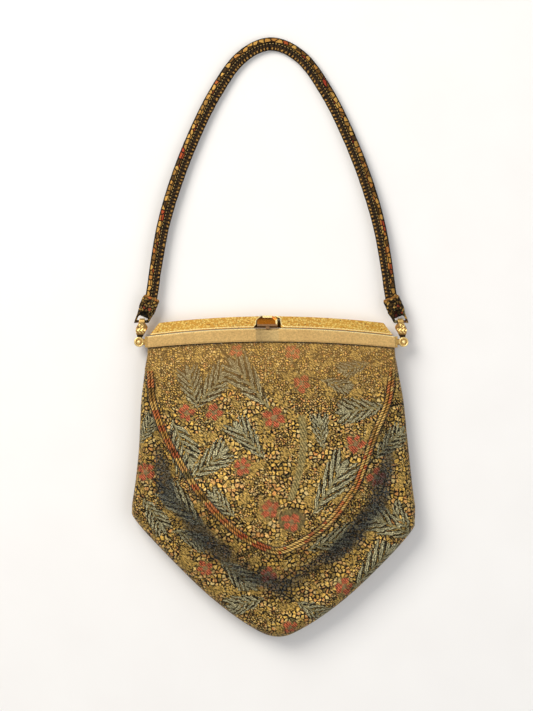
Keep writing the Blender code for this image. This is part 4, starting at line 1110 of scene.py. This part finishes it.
def strap_line(steps):
    start = sleeve_top()
    arch = HANDLE_REACH - STRAP_WIDTH / 2
    right = [(start.x + 0.0010, start.y - 0.0035)]
    right += [(share * start.x, mix(start.y, arch, rise)) for share, rise in STRAP_PATH]
    whole = [(-x, y) for x, y in right] + [(0.0, arch)] + list(reversed(right))
    line = []
    for i in range(steps + 1):
        x, y = spline(whole, (len(whole) - 1) * i / steps)
        line.append(Vector((x, y, handle_z(y))))
    return line


def make_strap_cloth():
    """A folded strip: its outer half swells, the inner half is flatter, and a seam parts them."""
    steps = 420
    line = strap_line(steps)
    lengths = [0.0]
    for a, b in zip(line, line[1:]):
        lengths.append(lengths[-1] + (b - a).length)
    around = 28

    def section(u, width):
        angle = 2 * math.pi * u
        c, s = math.cos(angle), math.sin(angle)
        across = math.copysign(abs(c) ** 0.77, c) * width / 2
        height = math.copysign(abs(s) ** 0.77, s) * width * STRAP_SHARE / 2
        share = across / (width / 2)
        if s > 0:
            height *= 1.0 - 0.30 * smooth((0.05 - share) / 0.5)
            height -= 0.0011 * math.exp(-((share - 0.02) / 0.09) ** 2)
        return across, height

    def frame_at(v):
        i = min(steps, round(v * steps))
        along = (line[min(steps, i + 1)] - line[max(0, i - 1)]).normalized()
        across = Vector((-along.y, along.x, 0)).normalized()
        width = mix(STRAP_END_WIDTH, STRAP_WIDTH, smooth((line[i].y - sleeve_top().y) / 0.10))
        return i, across, width

    def place(u, v):
        i, across, width = frame_at(v)
        a, h = section(u, width)
        bump = 1 + 0.03 * noise.noise(Vector((v * 130, u * 5, 0)))
        return line[i] + across * a * bump + Vector((0, 0, h * bump))

    def cloth(u, v):
        i, _, width = frame_at(v)
        a, _ = section(u, width)
        return lengths[i], a * STRAP_WIDTH / width

    bm = woven(around, steps, place, cloth)
    bmesh.ops.remove_doubles(bm, verts=bm.verts, dist=1e-7)
    bmesh.ops.holes_fill(bm, edges=[edge for edge in bm.edges if edge.is_boundary], sides=0)
    bmesh.ops.recalc_face_normals(bm, faces=bm.faces)
    piece = settle("strap_cloth", bm, FINISH["strap"])
    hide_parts("handle_strap")
    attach(piece, "handle")


def softened(name, node, voxel, rounds, finish, fillers=()):
    """A copy of a node's solid, with any fillers joined to it and its corners worn round."""
    bm = bmesh.new()
    bm.from_mesh(NODES[node].data)
    bmesh.ops.remove_doubles(bm, verts=bm.verts, dist=1e-6)
    for center, size, turn in fillers:
        block = bmesh.ops.create_cube(bm, size=1.0)["verts"]
        bmesh.ops.scale(bm, verts=block, vec=size)
        bmesh.ops.rotate(bm, verts=block, matrix=Matrix.Rotation(turn, 3, "Z"))
        bmesh.ops.translate(bm, verts=block, vec=center)
    piece = settle(name, bm, finish)
    remesh = piece.modifiers.new("Cloth", "REMESH")
    remesh.mode = "VOXEL"
    remesh.voxel_size = voxel
    made_fast(piece)
    bm = bmesh.new()
    bm.from_mesh(piece.data)
    axes = {"use_axis_x": True, "use_axis_y": True, "use_axis_z": True}
    for _ in range(rounds):
        bmesh.ops.smooth_vert(bm, verts=bm.verts, factor=0.5, **axes)
    bm.to_mesh(piece.data)
    bm.free()
    piece.data.materials.clear()
    piece.data.materials.append(finish)
    piece.data.shade_smooth()
    return piece


def sleeve_place(side, up, across=0.0, lift=0.0):
    """A point of a sleeve: up along it from the bar, across it, and above its middle."""
    x = NECK_X - math.sin(SLEEVE_LEAN) * up + math.cos(SLEEVE_LEAN) * across
    y = PIVOT_Y + math.cos(SLEEVE_LEAN) * up + math.sin(SLEEVE_LEAN) * across
    return Vector((side * x, y, handle_z(y) + lift))


def make_sleeves():
    """Puffed cloth sleeves. Their holes end in filler cloth just above the link's neck, painted dark as
    shade.
    """
    for label, side in (("left", -1), ("right", 1)):
        fillers = [
            (sleeve_place(side, 0.0062, lift=-0.0006), (0.0080, 0.0048, 0.0022), side * SLEEVE_LEAN),
        ]
        piece = softened(
            f"sleeve_cloth_{label}", f"handle_sleeve_{label}", 0.00035, 5, FINISH["sleeve"],
            fillers,
        )
        foot = sleeve_place(side, 0.0)
        ahead = (sleeve_place(side, SLEEVE_LENGTH) - foot).normalized()
        for vert in piece.data.vertices:
            up = (vert.co - foot).dot(ahead)
            puff = smooth((up - 0.0045) / 0.005)
            full = smooth((SLEEVE_LENGTH + 0.0005 - up) / 0.003)
            vert.co += vert.normal * puff * (0.0002 + 0.0007 * full + 0.0006 * noise.noise(vert.co * 420))
        hole = sleeve_place(side, 0.0058)
        top = sleeve_place(side, SLEEVE_LENGTH)
        down = (sleeve_place(side, 0.0) - top).normalized()

        # Painted shade round the hole.
        def gloom(co, hole=hole):
            away = Vector((co.x - hole.x, (co.y - hole.y) * 0.9)).length
            return 1 - smooth((away - 0.0022) / 0.0024)

        def trim(co, top=top, down=down):
            return 1 - smooth(((co - top).dot(down) - 0.0009) / 0.0012)

        paint(piece, "gloom", gloom)
        paint(piece, "rim", trim)
        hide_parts(f"handle_sleeve_{label}")
        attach(piece, "handle")


def make_links():
    for label in ("left", "right"):
        link = softened(
            f"link_leaf_{label}", f"handle_link_{label}", 0.00016, 3, FINISH[f"link_{label}"]
        )
        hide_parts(f"handle_link_{label}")
        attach(link, f"link_{label}")


# Metal trims


def roof_point(x, rise, lift=0.0):
    """A point on the roof's front slope, rise being its height above the lower edge."""
    share = rise / ROOF_HEIGHT
    z = mix(ROOF_FOOT, ROOF_RIDGE, share)
    return Vector((x, band_top(x) + ROOF_GAP + rise, z)) + Vector((0, 0.662, 0.749)) * lift


NOTCH_EDGES = {
    -1: ((-0.0081, 1.00), (-0.0095, 0.86), (-0.0110, 0.72), (-0.0117, 0.60), (-0.0118, 0.42),
         (-0.0119, 0.30), (-0.0124, 0.20), (-0.0134, 0.10), (-0.0146, 0.06)),
    1: ((0.0031, 1.00), (0.0052, 0.93), (0.0068, 0.83), (0.0073, 0.70), (0.0074, 0.52),
        (0.0076, 0.36), (0.0081, 0.22), (0.0090, 0.12), (0.0102, 0.06)),
}


def make_roof_trims():
    """The notch's curved cheeks, and the raised rim round them and along the roof's edge, which carries a
    painted highlight.
    """
    for label, side in (("left", -1), ("right", 1)):
        edge = NOTCH_EDGES[side]
        cad_edge = CLASP_X + side * NOTCH

        def place(u, v, edge=edge, cad_edge=cad_edge, side=side):
            share = mix(0.10, 1.0, v)
            points = [Vector((x, rise)) for x, rise in edge]
            at = min(range(81), key=lambda i: abs(spline(points, i / 10).y - share)) / 10
            inner = spline(points, at).x
            outer = cad_edge + side * 0.0006
            if (inner - outer) * side > -0.0001:
                inner = outer - side * 0.0001
            return roof_point(mix(inner, outer, u), share * ROOF_HEIGHT, 0.00006)

        bm = woven(6, 20, place, lambda u, v: (u, v))
        bmesh.ops.recalc_face_normals(bm, faces=bm.faces)
        if sum(face.normal.z for face in bm.faces) < 0:
            bmesh.ops.reverse_faces(bm, faces=bm.faces)
        cheek = settle(f"notch_cheek_{label}", bm, FINISH["roof"])
        thickened(cheek, 0.0006)
        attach(cheek, "root")

        points = [roof_point(x, rise * ROOF_HEIGHT, 0.0002) for x, rise in edge]
        points = [spline(points, i / 3) for i in range(3 * (len(points) - 1) + 1)]
        end = side * (ROOF_HALF - 0.0006)
        start = edge[-1][0]
        points += [roof_point(mix(start, end, i / 40), 0.06 * ROOF_HEIGHT, 0.0002) for i in range(1, 41)]
        rim = rod(f"roof_rim_{label}", points, 0.00040, FINISH["painted_highlight"])
        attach(rim, "root")
        for number, offset in enumerate((0.0014, 0.0026)):
            beads = bmesh.new()
            for i in range(12):
                rise = mix(0.0012, ROOF_HEIGHT - 0.0006, i / 11)
                x = side * (ROOF_HALF - ROOF_SLANT * rise / ROOF_HEIGHT - offset)
                made = bmesh.ops.create_icosphere(beads, subdivisions=1, radius=0.00026)
                bmesh.ops.translate(beads, verts=made["verts"], vec=roof_point(x, rise, 0.00005))
            piece = settle(f"roof_beads_{label}_{number}", beads, FINISH["rim"])
            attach(piece, "root")


def on_slope(bm, lift=0.0):
    """Moves a piece made flat, across in X and up in Y, on to the roof's slope at the clasp."""
    for vert in bm.verts:
        flat = vert.co.copy()
        foot = roof_point(CLASP_X, 0.0, 0.0)
        up = (roof_point(CLASP_X, ROOF_HEIGHT) - foot).normalized()
        out = Vector((0, -up.z, up.y))
        vert.co = foot + Vector((flat.x, 0, 0)) + up * flat.y + out * (flat.z + lift)


def make_lever_dress():
    """The lever's pressed face: facets with a painted highlight round a sunk brown field, a lip and the
    tongue.
    """
    bm = bmesh.new()
    plate = bmesh.ops.create_grid(bm, x_segments=1, y_segments=1, size=0.5)["verts"]
    bmesh.ops.scale(bm, verts=plate, vec=(0.0152, 0.0092, 1))
    bmesh.ops.translate(bm, verts=plate, vec=(0, 0.0067, 0.0009))
    corners = [vert for vert in bm.verts if vert.co.y > 0.009]
    bmesh.ops.bevel(bm, geom=corners, affect="VERTICES", offset=0.0036, segments=1, profile=0.5, material=-1)
    bmesh.ops.inset_region(bm, faces=bm.faces[:], thickness=0.0016, depth=-0.0007, use_boundary=True)
    # The top and right facets take the pale gold with a painted highlight.
    for face in bm.faces:
        middle = face.calc_center_median()
        face.material_index = 1 if middle.y > 0.0098 or middle.x > 0.0062 else 0
    outer = bmesh.ops.extrude_edge_only(bm, edges=[edge for edge in bm.edges if edge.is_boundary])
    skirt = [item for item in outer["geom"] if isinstance(item, bmesh.types.BMVert)]
    bmesh.ops.translate(bm, verts=skirt, vec=(0, 0, -0.0009))
    bmesh.ops.recalc_face_normals(bm, faces=bm.faces)
    on_slope(bm)
    face = settle("lever_face", bm, FINISH["lever"], smooth_faces=False)
    face.data.materials.append(FINISH["painted_highlight"])
    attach(face, "clasp")

    bm = bmesh.new()
    for center, size in (
        ((0, 0.0013, 0.0008), (0.0156, 0.0016, 0.0012)),
        ((0.0002, -0.0004, 0.0005), (0.0030, 0.0032, 0.0008)),
    ):
        bar = bmesh.ops.create_cube(bm, size=1.0)["verts"]
        bmesh.ops.scale(bm, verts=bar, vec=size)
        bmesh.ops.translate(bm, verts=bar, vec=center)
    bmesh.ops.bevel(
        bm, geom=bm.edges[:], affect="EDGES", offset=0.00025, segments=2, profile=0.5, material=-1
    )
    on_slope(bm)
    lip = settle("lever_lip", bm, FINISH["lip"], smooth_faces=False)
    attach(lip, "clasp")


def make_band_face():
    """The band's stippled face, in one with the catch plate's, which is a little darker in the middle."""
    catch_half = 0.0086

    def place(u, v):
        x = mix(-HALF_FRAME + 0.0003, HALF_FRAME - 0.0003, u)
        lowered = 0.0010 * (1 - smooth((abs(x - CLASP_X) - catch_half + 0.0006) / 0.0008))
        top = band_top(x) - 0.0002 - lowered
        return Vector((x, mix(band_bottom(x) + 0.0002, top, v), FRAME_FRONT + 0.0003))

    bm = woven(190, 8, place, lambda u, v: (u, v))
    face = settle("band_face", bm, FINISH["band"])
    thickened(face, 0.0002)
    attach(face, "front_half")


def make_band_trims():
    """The polished edges of the front band; the top edges carry a painted highlight."""
    catch_left, catch_right = CLASP_X - CATCH_HALF, CLASP_X + CATCH_HALF
    for label, x0, x1 in (("left", -HALF_FRAME, catch_left), ("right", catch_right, HALF_FRAME)):
        points = []
        for i in range(31):
            x = mix(x0 + 0.0004, x1 - 0.0004, i / 30)
            points.append(Vector((x, band_top(x) - 0.00035, FRAME_FRONT + 0.00015)))
        edge = rod(f"band_top_edge_{label}", points, 0.00038, FINISH["painted_highlight"])
        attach(edge, "front_half")
    points = []
    for i in range(61):
        x = mix(-HALF_FRAME + 0.0003, HALF_FRAME - 0.0003, i / 60)
        points.append(Vector((x, band_bottom(x) + 0.00030, FRAME_FRONT + 0.00010)))
    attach(rod("band_low_edge", points, 0.00032, FINISH["band"]), "front_half")


def make_lug_trims():
    """A bright ring on each boss's mouth."""
    boss_top = LUG_Z - 0.0015 + GAP + 0.0050
    for label, side in (("left", -1), ("right", 1)):
        points = []
        for i in range(40):
            a = 2 * math.pi * i / 40
            across, up = BOSS_MOUTH * math.cos(a), BOSS_MOUTH * math.sin(a)
            points.append(Vector((side * LUG_X + across, LUG_Y + up, boss_top)))
        ring = ring_of(f"boss_ring_{label}", points, 0.00045)
        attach(ring, "root")


def ring_of(name, points, radius):
    middle = sum(points, Vector()) / len(points)
    bm = bmesh.new()
    major = (points[0] - middle).length
    circle = bmesh.ops.create_circle(bm, segments=8, radius=radius)["verts"]
    bmesh.ops.rotate(bm, verts=circle, matrix=Matrix.Rotation(math.pi / 2, 3, "X"))
    bmesh.ops.translate(bm, verts=circle, vec=(major, 0, 0))
    bmesh.ops.spin(
        bm, geom=bm.verts[:] + bm.edges[:], axis=(0, 0, 1), cent=(0, 0, 0), angle=2 * math.pi,
        steps=40, use_merge=True,
    )
    bmesh.ops.remove_doubles(bm, verts=bm.verts, dist=1e-6)
    bmesh.ops.recalc_face_normals(bm, faces=bm.faces)
    bmesh.ops.translate(bm, verts=bm.verts, vec=middle)
    return settle(name, bm, FINISH["rim"])


# The stage


def make_stage():
    bm = bmesh.new()
    bmesh.ops.create_grid(bm, x_segments=1, y_segments=1, size=4.0)
    mesh = bpy.data.meshes.new("floor")
    bm.to_mesh(mesh)
    bm.free()
    mesh.materials.append(floor_finish())
    floor = bpy.data.objects.new("floor", mesh)
    bpy.context.scene.collection.objects.link(floor)
    camera = bpy.data.cameras.new("photo_camera")
    camera.sensor_fit = "VERTICAL"
    camera.sensor_height = 36.0
    camera.lens = 150.0
    holder = bpy.data.objects.new("photo_camera", camera)
    distance = 0.5440 * 150.0 / 36.0
    holder.location = (-0.00365, -0.0145, distance + 0.018)
    bpy.context.scene.collection.objects.link(holder)
    bpy.context.scene.camera = holder
    lamp("window", (-0.9, 0.9, 1.3), 1.1, 32.5, (1.0, 0.96, 0.90))
    lamp("room", (1.1, -0.2, 1.4), 1.4, 10.0, (0.95, 0.97, 1.0))
    lamp("ceiling", (0.1, -0.9, 1.8), 1.6, 4.5, (1.0, 0.98, 0.95))
    world = bpy.data.worlds.new("studio")
    world.use_nodes = True
    world.node_tree.nodes["Background"].inputs["Color"].default_value = (0.82, 0.82, 0.84, 1)
    world.node_tree.nodes["Background"].inputs["Strength"].default_value = 0.45
    bpy.context.scene.world = world
    bpy.context.scene.view_settings.view_transform = "Standard"


def lamp(name, place, size, power, color):
    data = bpy.data.lights.new(name, "AREA")
    data.size = size
    data.energy = power
    data.color = color
    holder = bpy.data.objects.new(name, data)
    holder.location = place
    holder.rotation_euler = (-Vector(place)).to_track_quat("-Z", "Y").to_euler()
    bpy.context.scene.collection.objects.link(holder)


def floor_finish():
    r = Recipe("pale_floor")
    grain = r.grain(r.object_place(), 0.02, 2.0)
    pale, paler = (0.78, 0.765, 0.745, 1.0), (0.82, 0.81, 0.79, 1.0)
    color = r.node("ShaderNodeMix", {"data_type": "RGBA"}, {0: grain, 6: pale, 7: paler}, 2)
    return r.finish(color, 0.9, 0.0)


FINISH = {
    "front": brocade_finish("front_brocade"),
    # The back and gusset copies are darker: painted shade.
    "back": brocade_finish("back_brocade", 0.92),
    "gusset": brocade_finish("gusset_brocade", 0.85),
    "piping": corded_finish(),
    "strap": strap_finish(),
    "sleeve": sleeve_finish(),
    "lining": satin_finish(),
    "band": stippled_gold(),
    "roof": florentine_gold(),
    "rim": rim_gold("rim_gold", 0.78),
    # Pale gold low in metal, so it stays bright under any light: partly its own pale colour, partly a
    # painted highlight.
    "painted_highlight": rim_gold("painted_highlight_gold", 0.35),
    "lever": polished_brass(),
    "lip": tarnished_brass(),
    "link_left": cast_gold("scrolled_gold_left", (-0.1002, 0.0084)),
    "link_right": cast_gold("scrolled_gold_right", (0.1002, 0.0084)),
    "lug": cast_gold("cast_gold"),
    "steel": plain_steel(),
}

CAD_FINISHES = {
    "band": ("front_band", "catch_plate", "back_band", "front_arm_left", "front_arm_right",
             "back_arm_left", "back_arm_right"),
    "roof": ("top_plate",),
    "lip": ("clasp_lever",),
    # The rivet balls are pale gold with a painted highlight.
    "painted_highlight": ("lug_rivet_left", "lug_rivet_right"),
    "lever": ("hinge_rivet_left", "hinge_rivet_right"),
    "lug": ("handle_lug_left", "handle_lug_right"),
    "steel": ("clasp_pin", "clasp_spring"),
}
for finish, names in CAD_FINISHES.items():
    for name in names:
        for material_slot in NODES[name].material_slots:
            material_slot.material = FINISH[finish]

make_stage()
make_front_cloth()
make_flap_hems()
make_back_cloth()
make_gusset_cloth()
make_piping()
make_lining_cloth()
make_strap_cloth()
make_sleeves()
make_links()
make_roof_trims()
make_lever_dress()
make_band_face()
make_band_trims()
make_lug_trims()
